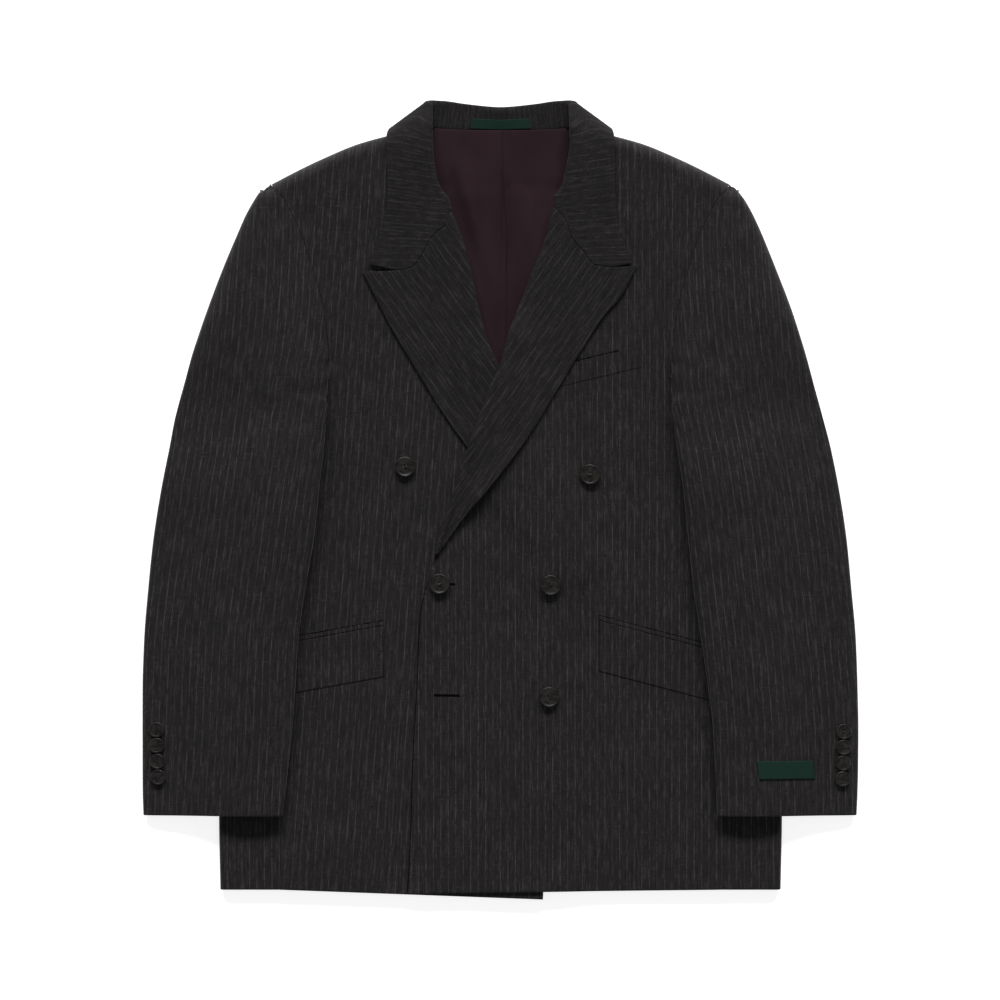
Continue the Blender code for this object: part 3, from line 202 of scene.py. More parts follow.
# Section angles of the top sleeve, 0 at the outer edge, 180 at the inner one.
TOP_ANGLES = (-20, 0, 14, 30, 48, 62, 76, 90, 104, 118, 132, 150, 166, 180, 200)
# Places across the under sleeve are -1 at the inner edge and 1 at the outer one.
UNDER_REACH = 0.971
# Height of a sleeve's widest place, as a share of its depth.
EQUATOR = 0.45
# The under sleeve steps down to the table between these distances beyond the
# body's edge.
STEP_TOP = -10.0
STEP_FOOT = 28.0
UPPER_STEP = (-34.0, 52.0)  # the sleeve's upper side steps down more gently
# Where the sleeve starts to lap over the front's corner, and its height over it.
LAP_START = 355.0
LAP_CLEAR = 0.9
# Length over which the sleeve's outer side turns from the head into the arm.
HEAD_BLEND = 112.0

# Height of the under sleeve's inner end as it climbs over the side panel.
UNDERARM_FOOT = table("v height", 355, 0, 378, 3, 391, 19.6)

# Collar stations from the gorge round to the centre back. Columns: roll line,
# outer edge and neck seam (u, v), and the fold's radius.
COLLAR_FRONT_LEFT = table("roll_u roll_v edge_u edge_v neck_v fold",
    552.5, 206.5, 631.5, 261.6, 209.4, 2.6,  553, 198, 626.5, 250, 201, 3.2,
    560.5, 188, 620, 233, 190, 3.8,  564, 177, 616, 212, 177, 4.4,  567, 162, 614.8, 188, 161, 4.8,
    569.8, 145, 614.6, 167, 148, 5,  570.8, 128, 614.2, 150, 138.5, 5,
    571, 112, 613.8, 138, 131.5, 4.8)
COLLAR_FRONT_RIGHT = table("roll_u roll_v edge_u edge_v neck_v fold",
    452.5, 210.2, 369.5, 262.6, 211.8, 2.6,  450, 200, 374, 250, 201, 3.2,
    442.5, 191, 381, 233, 190, 3.8,  437.5, 179, 386, 212, 177, 4.4,
    434.5, 162, 387.6, 188, 161, 4.8,  433, 145, 387.4, 167, 148, 5,
    431.6, 128, 386.8, 150, 138.5, 5,  430.4, 112, 386.8, 138, 131.5, 4.8)
COLLAR_FRONT_HEIGHT = table("roll_z edge_z neck_z",
    0, 0, 0,  0, 0, 0,  0, 0, 0,  0, 0, 0,  0, 0, 0,  0, 0, 0,  25.5, 0, 19,  20.5, 23, 12.5)
# The rest of the collar is alike on both sides: distances from the centre.
COLLAR_BACK = table("roll_half roll_v roll_z edge_half edge_v edge_z neck_half neck_v neck_z fold",
    70.2, 101.3, 13.5, 110.8, 129.2, 13, 70.4, 127.6, 7, 4.6,
    64, 100.2, 9.5, 102.5, 127, 6.5, 65.5, 127.8, 5.2, 4.2,
    57, 100.4, 7.7, 91, 126.6, 2, 58, 128.2, 4.8, 4,
    48, 101, 5.9, 75, 147, 1.3, 49, 128.8, 4.8, 3.9,
    30, 103.4, 5.5, 44, 151.5, 1.3, 31, 129.6, 4.8, 3.8,
    0, 106, 5.3, 0, 153, 1.3, 0, 130.4, 4.8, 3.7)

# Pocket flaps: inner end and slope on the table.
POCKETS = table("side inner_half top_v slope long tall",
    LEFT, 98.8, 620.5, 0.262, 143, 50.5,  RIGHT, 116.8, 625.5, 0.18, 141, 51)
# A small patch: its corner, then its runs along and down.
WELT_PLACE = table("u v", 556, 365.5, 84, -20, 2, 21.5)
SLEEVE_LABEL_PLACE = table("u v", 756, 760.4, 56.6, 0, 2, 18)
NECK_LABEL_DOWN = (0.43, 0.93)   # the label's reach down the collar's stand
JET_TALL = 5.0
JET_THICK = 0.7
FLAP_CORNER = 14.0          # radius of a flap's rounded corner


# ---------------------------------------------------------------- small helpers
def smooth(start, end, lean_start, lean_end, t):
    """Cubic from start to end with the given leans at both."""
    return (
        start * (1 + 2 * t) * (1 - t) ** 2
        + lean_start * t * (1 - t) ** 2
        + end * t * t * (3 - 2 * t)
        + lean_end * t * t * (t - 1)
    )


def ease(t):
    t = np.clip(t, 0.0, 1.0)
    return t * t * (3.0 - 2.0 * t)


def follow(xs, ys, x):
    """Smooth curve through (xs, ys) that never overshoots them."""
    step = np.diff(xs)
    slope = np.diff(ys) / step
    lean = np.concatenate([slope[:1], np.zeros(len(xs) - 2), slope[-1:]])
    for i in range(1, len(xs) - 1):
        if slope[i - 1] * slope[i] > 0.0:
            before = 2.0 * step[i] + step[i - 1]
            after = step[i] + 2.0 * step[i - 1]
            lean[i] = (before + after) / (before / slope[i - 1] + after / slope[i])
    x = np.clip(np.asarray(x, float), xs[0], xs[-1])
    i = np.clip(np.searchsorted(xs, x) - 1, 0, len(step) - 1)
    t = (x - xs[i]) / step[i]
    return smooth(ys[i], ys[i + 1], lean[i] * step[i], lean[i + 1] * step[i], t)


def shares_along(points):
    """Share of a path's length at each of its points."""
    run = np.concatenate([[0.0], np.cumsum(np.linalg.norm(np.diff(points, axis=0), axis=1))])
    return run / run[-1]


def along_path(points, t):
    """Points at shares t of the length of a smooth path."""
    run = shares_along(points)
    return np.stack([follow(run, column, t) for column in points.T], axis=-1)


def unit(vector):
    return vector / np.maximum(np.linalg.norm(vector, axis=-1, keepdims=True), 1e-9)


def on_side(half, side):
    return CENTRE_U + side * np.asarray(half, float)


# ---------------------------------------------------------------- the body's levels
def from_centre(u):
    return np.abs(np.asarray(u, float) - CENTRE_U)


def mirrored(points, side):
    """Points given as distances from the centre, on their side of the table."""
    return np.stack([on_side(points[:, 0], side), points[:, 1]], axis=-1)


def body_room(u, v):
    half = from_centre(u)
    rows, *levels = BODY_ROOM.T
    centre, chest, side = (follow(rows, level, v) for level in levels)
    room = centre + (chest - centre) * ease((half - 60.0) / 110.0)
    return room + (side - room) * ease((half - 180.0) / 80.0)


def body_base(u, v):
    """Inner face of a front."""
    return BODY_CLOTH + body_room(u, v)


def body_edge(v):
    """Distance of the body's folded edge from the centre at row v."""
    return follow(*BODY_EDGE.T, v)


def neck_raise(u, v):
    """How far the back lies above the table over the collar's fall."""
    near = 1 - ease((np.asarray(v, float) - 172.0) / 40.0)
    return NECK_RAISE * near * (1 - ease((from_centre(u) - 125.0) / 50.0))


def under_edge_u(v):
    """Free edge or roll line of the under front at row v."""
    u, rows = np.vstack([UNDER_ROLL[::-1], UNDER_EDGE[-2::-1]]).T
    return np.interp(v, rows, u)


def under_lapel_u(v):
    """Outer edge of the under lapel at row v."""
    u, rows = UNDER_LAPEL_EDGE[::-1].T
    return np.interp(v, rows, u)


def over_lift(u, v):
    """What the layers beneath lift the over front."""
    reach = under_edge_u(v) + LIFT_REACH
    lift = OVERLAP_LIFT * ease((reach - u) / 30.0)
    tucked = ease((u - under_lapel_u(v) + LAPEL_TUCK) / 18.0) * ease((reach - 2.0 - u) / 26.0)
    return lift + LAPEL_LIFT * tucked * ease((600.0 - v) / 26.0) * ease((v - 285.0) / 40.0)


def front_base(u, v, over):
    """Inner face of the over or the under front."""
    base = body_base(u, v)
    return base + over_lift(u, v) if over else base


def body_top(u, v, over):
    return front_base(u, v, over) + BODY_CLOTH


# ---------------------------------------------------------------- cloth surfaces
def to_space(grid):
    """Cutting table (u, v, z) in mm to world metres."""
    grid = np.asarray(grid, float)
    return np.stack([grid[..., 0] - CENTRE_U, CENTRE_V - grid[..., 1], grid[..., 2]], axis=-1) * MM


def grid_normals(points):
    down = np.gradient(points, axis=0)
    across = np.gradient(points, axis=1)
    return unit(np.cross(across, down))


def roll_radius(over, share, width):
    """Outer radius of a lapel's roll, largest above the over lapel's lower end."""
    places, at_over, at_under = ROLL_RADIUS.T
    full = np.interp(share, places, at_over if over else at_under)
    return np.minimum(full, np.maximum(1.9, width * 0.42))


def lapel_rows(over):
    """Shares, roll points and outer edge points for each row of a lapel."""
    along = FRONT_ROWS[:, 0]
    share = along[(along >= 1.0) & (along <= 2.0)] - 1.0
    roll = along_path(OVER_ROLL if over else UNDER_ROLL, share)
    edge = along_path(OVER_LAPEL_EDGE if over else UNDER_LAPEL_EDGE, share)
    return share, roll, edge


def gorge_points(over, gap):
    """Shared points of the gorge seam, moved toward the lapel by a gap."""
    points = along_path(OVER_GORGE if over else UNDER_GORGE, np.linspace(0.0, 1.0, 6))
    along = unit(np.gradient(points, axis=0))
    away = np.stack([-along[:, 1], along[:, 0]], axis=-1)
    return points + away * (gap if over else -gap)


def lapel_grid(over):
    """Rows up the lapel: from under its roll, round it and out to its edge."""
    share, roll, edge = lapel_rows(over)
    edge_gap = LAPEL_EDGE_GAP if over else LAY
    top = gorge_points(over, GORGE_GAP)
    tip = edge[-1]
    top = np.vstack([top, (top[-1] + tip) / 2 + np.array([0.0, 0.3]), tip])
    step = shares_along(top)
    bow = top - (top[0] + np.outer(step, top[-1] - top[0]))
    rows = []
    for k in range(len(share)):
        span = edge[k] - roll[k]
        width = np.linalg.norm(span)
        toward = span / width
        radius = roll_radius(over, share[k], width)
        middle = radius - LAPEL_CLOTH / 2
        level = float(front_base(*(roll[k] + toward * radius), over))
        line = [(*(roll[k] + toward * (radius + 2.0)), level + LAPEL_CLOTH / 2)]
        for angle in (-90, -50, -15, 15, 50):
            turn = math.radians(angle)
            spot = roll[k] + toward * (radius - middle * math.cos(turn))
            line.append((*spot, level + radius + middle * math.sin(turn)))
        crest = level + 2 * radius - LAPEL_CLOTH / 2
        fade = ease((share[k] - 0.62) / 0.38)
        for j, t in enumerate(step):
            flat = roll[k] + toward * (radius + (width - radius) * t)
            shaped = roll[k] + span * t + bow[j] if j else flat
            spot = flat + (shaped - flat) * fade
            rest = float(body_top(*spot, over)) + edge_gap + LAPEL_CLOTH / 2
            line.append((*spot, rest + max(0.0, crest - rest) * (1.0 - t) ** 2.2))
        rows.append(line)
    return np.array(rows)


def shoulder_points(side, share, depth):
    """Points of the shoulder line, moved down the table by a share of its turn."""
    turn = np.outer(1 - share, TURN_AT_NECK) + np.outer(share, TURN_AT_ARM)
    return mirrored(along_path(SHOULDER, share) + turn * depth, side)


def front_grid(over):
    """Rows up the front, each from its free edge, lapel or neck out to its side."""
    side = LEFT if over else RIGHT
    along = FRONT_ROWS[:, 0]
    outer = mirrored(FRONT_ROWS[:, 1:], side)
    share, roll, edge = lapel_rows(over)
    step = np.linspace(0.0, 1.0, 15)
    neck = mirrored(along_path(FRONT_NECK, np.clip(along - 2.0, 0.0, 1.0)), side)
    free = along_path(OVER_EDGE if over else UNDER_EDGE, np.clip(along, 0.0, 1.0))
    shoulder = shoulder_points(side, step, 1.0)
    straight = shoulder[0] + np.outer(step, shoulder[-1] - shoulder[0])
    rows = []
    for k, place in enumerate(along):
        if place < 1.0:
            start = free[k]
        elif place <= 2.0:
            i = k - int(np.argmax(along >= 1.0))
            span = edge[i] - roll[i]
            width = np.linalg.norm(span)
            start = roll[i] + span / width * (roll_radius(over, share[i], width) + 2.0 + LAY)
        else:
            start = neck[k]
        line = start + np.outer(step, outer[k] - start)
        line = line + (shoulder - straight) * ease(place - 2.0)
        rows.append(np.column_stack([line, body_top(*line.T, over)]))
    for depth in (0.62, 0.32, 0.12, 0.0):
        line = shoulder_points(side, step, depth)
        high = body_top(*line.T, over)
        low = BODY_CLOTH + neck_raise(*line.T) + SHOULDER_GAP
        height = low + (high - low) * math.sqrt(1.0 - (1.0 - depth) ** 2)
        rows.append(np.column_stack([line, height]))
    return np.array(rows)


def back_grid(side):
    step = np.linspace(0.0, 1.0, 11)
    top = along_path(BACK_TOP, step)
    straight = top[0] + np.outer(step, top[-1] - top[0])
    rows = []
    for k, (centre_v, half, outer_v) in enumerate(BACK_ROWS):
        first = np.array([SEAM / 2, centre_v])
        line = first + np.outer(step, np.array([half - SEAM, outer_v]) - first)
        u, v = mirrored(line + (top - straight) * ease((k - 11) / 4.0), side).T
        rows.append(np.column_stack([u, v, neck_raise(u, v) + BODY_CLOTH]))
    return np.array(rows)


def side_grid(side):
    """Rows from the hem up: the side panel's top, round the body's edge and under."""
    rows = []
    for v in SIDE_ROWS:
        near = np.interp(v, *FRONT_SEAM.T) + SEAM
        far = float(body_edge(v))
        high = float(body_base(on_side(far - 6.0, side), v)) + BODY_CLOTH
        radius = high / 2
        line = []
        for t in (0.0, 0.5):
            half = near + (far - radius - near) * t
            line.append((half, float(body_base(on_side(half, side), v)) + BODY_CLOTH))
        line.append((far - radius, high))
        for angle in (60, 30, 0, -30, -60, -90):
            turn = math.radians(angle)
            line.append((far - radius + radius * math.cos(turn), radius + radius * math.sin(turn)))
        line.append((np.interp(v, *BACK_SEAM.T) + SEAM, 0.0))
        rows.append([(float(on_side(half, side)), v, z) for half, z in line])
    return np.array(rows)


def sleeve_rest(side, half, v, full, none):
    """Height of what a sleeve lies on: full and none are where the step down to
    the table starts and ends, as distances beyond the body's edge."""
    top = body_base(on_side(half, side), v) + BODY_CLOTH + SLEEVE_REST
    return top * ease((body_edge(v) + none - half) / (none - full))


def sleeve_row(side, v):
    """Inner and outer edge, depth and crest of a sleeve at row v."""
    rows, *edges, deep, crest = SLEEVE_ROWS[::-1].T
    inner, outer = edges[:2] if side > 0 else edges[2:]
    return [float(follow(rows, column, v)) for column in (inner, outer, deep, crest)]


def front_edge(side):
    """Armhole edge of the front: rows of (half, v, z)."""
    u, v, z = front_grid(side > 0)[:, -1].T
    return np.stack([from_centre(u), v, z], axis=-1)


def ring_point(angle, middle, reach, equator, high):
    """Place across, height and rise of a point of a flattened ring."""
    turn = math.radians(angle)
    rise = math.sin(turn)
    power, room = (0.8, high - equator) if rise >= 0.0 else (0.4, equator)
    across = math.copysign(abs(math.cos(turn)) ** power, math.cos(turn))
    return middle + reach * across, equator + math.copysign(room * abs(rise) ** power, rise), rise


def tube_point(side, v, angle, inner, outer, deep):
    """A point of the free sleeve's section; 0 degrees is its outer edge."""
    half, height, rise = ring_point(
        angle, (inner + outer) / 2, (outer - inner) / 2, deep * EQUATOR, deep)
    low = float(sleeve_rest(side, half, v, STEP_TOP, STEP_FOOT))
    high = float(sleeve_rest(side, half, v, *UPPER_STEP))
    return half, height + low + (high - low) * max(0.0, rise)


def sleeve_top_point(side, v, angle):
    """A point of the top sleeve, free below the underarm and set in above it."""
    inner, outer, deep, crest = sleeve_row(side, v)
    half, height = tube_point(side, v, angle, inner, outer, deep)
    if v >= UNDERARM_V:
        return half, height
    arm = ARMHOLE[side]
    arm_half, arm_z = (float(np.interp(-v, -arm[:, 1], arm[:, k])) for k in (0, 2))
    arm_half += 2 * SEAM
    if v > LAP_START:
        # It laps over the front's corner at the underarm, as the picture shows.
        arm_half += (inner + SEAM - arm_half) * float(ease((v - LAP_START - 11.0) / 12.0))
        over_front = float(body_top(on_side(arm_half, side), v, side > 0))
        arm_z = over_front + (SLEEVE_CLOTH + LAP_CLEAR) * float(ease((v - LAP_START) / 11.0))
    middle = (arm_half + outer) / 2
    slide = sink = ease((UNDERARM_V - v) / 13.0)
    if angle <= 90:
        set_half, set_height, _ = ring_point(
            angle, middle, outer - middle, min(8.0, crest * 0.4), crest)
        sink = ease((UNDERARM_V - v) / HEAD_BLEND)
    else:
        t = (angle - 90) / 110.0
        set_half = middle + (arm_half - middle) * t
        fullness = 2.0 + 4.0 * ease((v - 290.0) / 90.0)
        set_height = arm_z + (crest - arm_z) * (1 - t ** fullness)
        set_height += ROPING * t ** 3 * (1 - t) * (1 - ease((v - 330.0) / 60.0))
    return half + (set_half - half) * slide, height + (set_height - height) * sink


def sleeve_under_point(side, v, share):
    """A point of the under sleeve's lower face."""
    inner, outer, deep, _ = sleeve_row(side, v)
    if v >= UNDERARM_V:
        half = (inner + outer) / 2 + (outer - inner) / 2 * share
        curl = deep * EQUATOR * (1 - (1 - abs(share) ** 5) ** 0.2)
        return half, curl + float(sleeve_rest(side, half, v, STEP_TOP, STEP_FOOT))
    t = (share + UNDER_REACH) / (2 * UNDER_REACH)
    _, arm_half, arm_v = BACK_ROWS.T
    low = float(np.interp(v, *UNDERARM_FOOT.T))
    joined = v <= UNDERARM_FOOT[1, 0] + 1.0
    start = float(np.interp(-v, -arm_v, arm_half)) if joined else UNDERARM_HALF
    end, end_height = sleeve_top_point(side, v, -21.5)
    half = start + (end - start) * t
    return half, low * (1 - ease(t / 0.8)) + end_height * ease((t - 0.82) / 0.18)


SLEEVE_STATIONS = (
    815.6, 790.0, 762.0, 730.0, 690.0, 640.0, 590.0, 540.0, 490.0, 445.0, 420.0, 404.0,
    391.0, 378.0, 366.0, 355.0, 312.0, 268.0, 233.0, 215.0, 199.5, 194.0, 191.0)


def peaked(side, v, half, height):
    """The sleeve's last row rises to a peak beside the shoulder's end."""
    peak = max(0.0, 1.0 - ((half - 231.4) / 5.0) ** 2) if v == SLEEVE_STATIONS[-1] else 0.0
    return float(on_side(half, side)), v - 3.8 * peak, height * (1 - 0.25 * peak)


def sleeve_top_grid(side):
    return np.array([
        [peaked(side, v, *sleeve_top_point(side, v, angle)) for angle in TOP_ANGLES]
        for v in SLEEVE_STATIONS])


def under_shares(side, v):
    """Places of the under sleeve's columns: over the body, down the step, along
    the table and up the outer edge."""
    row = max(v, UNDERARM_V)
    inner, outer, _, _ = sleeve_row(side, row)
    middle = (inner + outer) / 2
    reach = (outer - inner) / 2
    edge = float(body_edge(row))
    top = (edge + STEP_TOP - middle) / reach
    foot = (edge + STEP_FOOT + 1.0 - middle) / reach
    shares = [-UNDER_REACH]
    shares += [-0.9 + (top + 0.9) * t for t in (0.0, 0.4, 0.75, 1.0)]
    shares += [top + (foot - top) * t for t in (0.33, 0.66, 1.0)]
    shares += [foot + (0.84 - foot) * t for t in (0.5, 1.0)]
    return shares + [0.93, UNDER_REACH]


def sleeve_under_grid(side):
    return np.array([
        [peaked(side, v, *sleeve_under_point(side, v, share)) for share in under_shares(side, v)]
        for v in SLEEVE_STATIONS])


def collar_stations():
    """Roll, edge and neck points and fold radius, round from right to left."""
    right, left = [], []
    halves = ((right, COLLAR_FRONT_RIGHT, False), (left, COLLAR_FRONT_LEFT, True))
    for part, table_rows, over in halves:
        side = LEFT if over else RIGHT
        seam = front_grid(over)[::-1, 0]
        seam = seam[seam[:, 1] < 230.0]
        for row, (roll_z, edge_z, neck_z) in zip(table_rows, COLLAR_FRONT_HEIGHT):
            roll_u, roll_v, edge_u, edge_v, neck_v, fold = row
            level = float(front_base(roll_u + (edge_u - roll_u) * 0.1, roll_v, over))
            roll_z = roll_z or level + COLLAR_CLOTH / 2 + fold
            edge_z = edge_z or (
                float(body_top(edge_u, edge_v, over)) + LAPEL_EDGE_GAP + COLLAR_CLOTH / 2)
            neck_z = neck_z or level + BODY_CLOTH / 2
            gap = NECK_SEAM + 0.9 * float(ease((150.0 - neck_v) / 12.0))
            neck_half = float(np.interp(neck_v, seam[:, 1], from_centre(seam[:, 0]))) - gap
            part.append((*np.array([
                (roll_u, roll_v, roll_z),
                (edge_u, edge_v, edge_z),
                (on_side(neck_half, side), neck_v, neck_z),
            ]), fold))
        for row in COLLAR_BACK:
            points = np.array(row[:9]).reshape(3, 3)
            points[:, 0] = on_side(points[:, 0], side)
            part.append((*points, row[9]))
    return right + left[-2::-1]


def collar_corner(over, tip):
    """Front end of the collar, along the gorge and on to its point."""
    gorge = gorge_points(over, 0.0)
    corner = np.vstack([gorge, (gorge[-1] + tip) / 2, tip])
    return shares_along(corner), corner


def collar_fall(start, edge, steps, corner, from_end):
    """Points of the fall from its outer edge back to the fold."""
    bow = corner - (corner[0] + np.outer(steps, corner[-1] - corner[0]))
    fade = max(0.0, 1.0 - from_end / 4.0) ** 1.6
    power = 1.8 if from_end < 8 else 3.0
    line = []
    for t, at_end, bend in reversed(list(zip(steps, corner, bow))):
        spot = start + (edge - start) * t
        if from_end == 0:
            spot[:2] = at_end if t > 0.0 else start[:2]
        else:
            spot[:2] += bend * fade
        spot[2] = edge[2] + (start[2] - edge[2]) * (1 - t) ** power
        line.append(spot)
    return line


def collar_grid():
    """Rows round the neck: outer edge, fall, fold and stand."""
    stations = collar_stations()
    last = len(stations) - 1
    ends = [collar_corner(over, stations[end][1][:2]) for over, end in ((False, 0), (True, last))]
    rows = []
    for k, (roll, edge, neck, fold) in enumerate(stations):
        to_edge = unit(edge - roll)
        to_neck = unit(neck - roll)
        bisect = unit(to_edge + to_neck)
        apart = unit(to_edge - to_neck)
        middle = roll + bisect * (fold + COLLAR_CLOTH / 2)
        line = collar_fall(middle + apart * fold, edge, *ends[k > last / 2], min(k, last - k))
        for angle in (50, 15, -15, -50, -90):
            turn = math.radians(angle)
            line.append(middle + fold * (apart * math.sin(turn) - bisect * math.cos(turn)))
        low = middle - apart * fold
        line += [low + (neck - low) * t for t in (0.35, 0.7, 1.0)]
        rows.append(line)
    return np.array(rows)


def lining_packed(u, v):
    """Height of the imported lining's upper face, without its pleat."""
    return BODY_CLOTH + neck_raise(u, v) + LAY + 0.1 + LINING_CLOTH


def pleat_share(v):
    """Fades the lining's pleat out toward its lower end."""
    return ease((PLEAT_END_V - v) / 160.0)


def lining_grid():
    rows = []
    for v in LINING_ROWS:
        wide = np.interp(v, *LINING_HALF.T)
        line = []
        for share in LINING_SHARES:
            off = share * wide
            pleat = 2.6 * math.exp(-((off - 2.5) / 4.0) ** 2) * float(pleat_share(v))
            line.append((CENTRE_U + off, v, float(lining_packed(CENTRE_U + off, v)) + pleat))
        rows.append(line)
    return np.array(rows)


def sleeve_angle(side, half, v):
    """The section angle at which the top sleeve is half from the centre."""
    low, high = 1.0, 179.0
    for _ in range(40):
        mid = (low + high) / 2
        if sleeve_top_point(side, v, mid)[0] > half:
            low = mid
        else:
            high = mid
    return (low + high) / 2


def sleeve_height(side, half, v):
    return sleeve_top_point(side, v, sleeve_angle(side, half, v))[1]


ARMHOLE = {LEFT: front_edge(LEFT), RIGHT: front_edge(RIGHT)}

# ---------------------------------------------------------------- finer cloth
FINE = 2.6                  # spacing of the fine cloth's points
EDGE_NEAR = (0.25, 0.8)     # extra rows close to each edge, where it rounds
EDGE_THIN = (0.30, 0.10, 0.0)   # how far the edge rows sink, as shares of the cloth


def between(values, at):
    """Smooth values at fractional rows, never past the rows themselves."""
    slope = np.diff(values, axis=0)
    total = slope[:-1] + slope[1:]
    product = slope[:-1] * slope[1:]
    safe = np.where(np.abs(total) < 1e-12, 1.0, total)
    lean = np.concatenate([
        slope[:1], np.where(product > 0.0, 2.0 * product / safe, 0.0), slope[-1:]])
    row = np.clip(np.floor(at).astype(int), 0, len(values) - 2)
    t = (at - row).reshape((-1,) + (1,) * (values.ndim - 1))
    return smooth(values[row], values[row + 1], lean[row], lean[row + 1], t)


def between_columns(grid, at):
    return np.moveaxis(between(np.moveaxis(grid, 1, 0), at), 0, 1)


def places(grid, axis, step):
    """Fractional rows about a step apart, with more close to both edges."""
    cells = np.linalg.norm(np.diff(grid, axis=axis), axis=-1).mean(axis=1 - axis)
    at = [0.0]
    for k, cell in enumerate(cells):
        count = max(1, math.ceil(cell / step))
        at += [k + (j + 1) / count for j in range(count)]
    last = len(cells)
    for near in EDGE_NEAR:
        at.append(min(0.5, near / max(cells[0], 1e-6)))
        at.append(last - min(0.5, near / max(cells[-1], 1e-6)))
    return np.unique(np.round(at, 6))


def finer(grid, step=FINE):
    """The grid with smooth points between its own, and their fractional rows."""
    down, across = places(grid, 0, step), places(grid, 1, step)
    return between_columns(between(grid, down), across), down, across


def run_along(grid, axis):
    """Length travelled from the first row along an axis, for every point."""
    step = np.linalg.norm(np.diff(grid, axis=axis), axis=-1)
    start = np.zeros_like(np.take(step, [0], axis=axis))
    return np.cumsum(np.concatenate([start, step], axis=axis), axis=axis)


# ---------------------------------------------------------------- creases
def creases(table_rows, u, v):
    """Sum of soft ridges (high > 0) and troughs (high < 0) along short lines."""
    total = np.zeros(np.broadcast(u, v).shape)
    for from_u, from_v, to_u, to_v, wide, high in table_rows:
        along_u = to_u - from_u
        along_v = to_v - from_v
        long = along_u * along_u + along_v * along_v
        t = np.clip(((u - from_u) * along_u + (v - from_v) * along_v) / long, 0.0, 1.0)
        off = np.hypot(u - from_u - t * along_u, v - from_v - t * along_v)
        total = total + high * np.exp(-((off / wide) ** 2)) * (0.35 + 0.65 * np.sin(np.pi * t))
    return total


def unrest(u, v, seed, size, high):
    """Slow uneven waves of cloth that lies loose."""
    rng = np.random.default_rng(seed)
    total = np.zeros(np.broadcast(u, v).shape)
    for _ in range(9):
        turn = rng.uniform(0.0, math.pi)
        long = size * rng.uniform(0.7, 1.6)
        phase = rng.uniform(0.0, 2 * math.pi)
        along = u * math.cos(turn) + v * math.sin(turn)
        total = total + np.sin(along * 2 * math.pi / long + phase)
    return total * high / 3.0


FRONT_CREASES = table("from_u from_v to_u to_v wide high",
    672, 290, 664, 470, 19, -4.2,  668, 440, 690, 600, 16, -1.6,  324, 330, 332, 500, 14, -2.8,
    328, 440, 310, 600, 14, -1.2,  640, 250, 655, 300, 13, -1,  600, 540, 664, 590, 16, -0.9,
    470, 640, 500, 790, 30, 0.8,  560, 620, 580, 860, 34, 0.7,  350, 700, 360, 880, 28, 0.7,
    620, 740, 640, 880, 26, -0.7)
SLEEVE_CREASES = table("from_u from_v to_u to_v wide high",
    742, 262, 748, 372, 15, -1.9,  722, 360, 752, 440, 14, -1.1,  795, 620, 812, 720, 22, 0.8,
    735, 480, 790, 560, 17, 0.8,  742, 500, 775, 620, 13, -0.9,  250, 262, 246, 372, 14, -1,
    262, 400, 210, 470, 16, -0.9,  250, 480, 205, 560, 17, 0.8,  232, 500, 235, 640, 14, -0.8,
    195, 640, 186, 740, 20, 0.8)
BACK_CREASES = table("from_u from_v to_u to_v wide high",
    400, 250, 385, 400, 24, 0.8,  600, 260, 618, 420, 22, 0.7,  430, 560, 410, 760, 26, 0.8,
    575, 600, 590, 820, 30, 0.6)
LINING_CREASES = table("from_u from_v to_u to_v wide high",
    450, 172, 474, 168, 22, 0.8,  478, 150, 484, 320, 8, -0.7,  524, 192, 548, 186, 26, -1.2,
    518, 170, 516, 300, 7, 0.5,  488, 280, 500, 350, 9, 0.6)


def front_relief(u, v):
    return creases(FRONT_CREASES, u, v) + unrest(u, v, 5, 110.0, 0.22)


def sleeve_relief(u, v):
    return creases(SLEEVE_CREASES, u, v) + unrest(u, v, 8, 95.0, 0.28)


# ---------------------------------------------------------------- shells
def sheet_mesh(name, face, back, uv):
    """A thin closed shell between two fine grids, with its cloth coordinates."""
    rows, cols = face.shape[:2]
    count = rows * cols
    index = np.arange(count).reshape(rows, cols)
    a, b = index[:-1, :-1].ravel(), index[:-1, 1:].ravel()
    c, d = index[1:, 1:].ravel(), index[1:, :-1].ravel()
    rim = np.concatenate([index[0, :], index[1:, -1], index[-1, -2::-1], index[-2:0:-1, 0]])
    after = np.roll(rim, -1)
    quads = np.concatenate([
        np.stack([a, b, c, d], axis=1),
        np.stack([a, d, c, b], axis=1) + count,
        np.stack([rim, rim + count, after + count, after], axis=1),
    ])
    points = np.concatenate([face.reshape(-1, 3), back.reshape(-1, 3)])
    first, second, third, fourth = (points[quads[:, k]] for k in range(4))
    if (first * (np.cross(second, third) + np.cross(third, fourth))).sum() < 0.0:
        quads = quads[:, ::-1]      # the faces looked inward
    mesh = bpy.data.meshes.new(name)
    mesh.from_pydata(points.tolist(), [], quads.tolist())
    both = np.concatenate([uv.reshape(-1, 2), uv.reshape(-1, 2)]) * MM
    layer = mesh.uv_layers.new(name="Cloth")
    layer.data.foreach_set("uv", both[quads.ravel()].astype(np.float32).ravel())
    mesh.shade_smooth()
    mesh.update()
    return mesh


def edge_shares(count):
    """How far each row sinks toward the cloth's middle near both ends."""
    share = np.zeros(count)
    share[:len(EDGE_THIN)] = EDGE_THIN
    share[-len(EDGE_THIN):] = EDGE_THIN[::-1]
    return share


def placed(name, data):
    """A new object in the scene."""
    made = bpy.data.objects.new(name, data)
    bpy.context.scene.collection.objects.link(made)
    return made


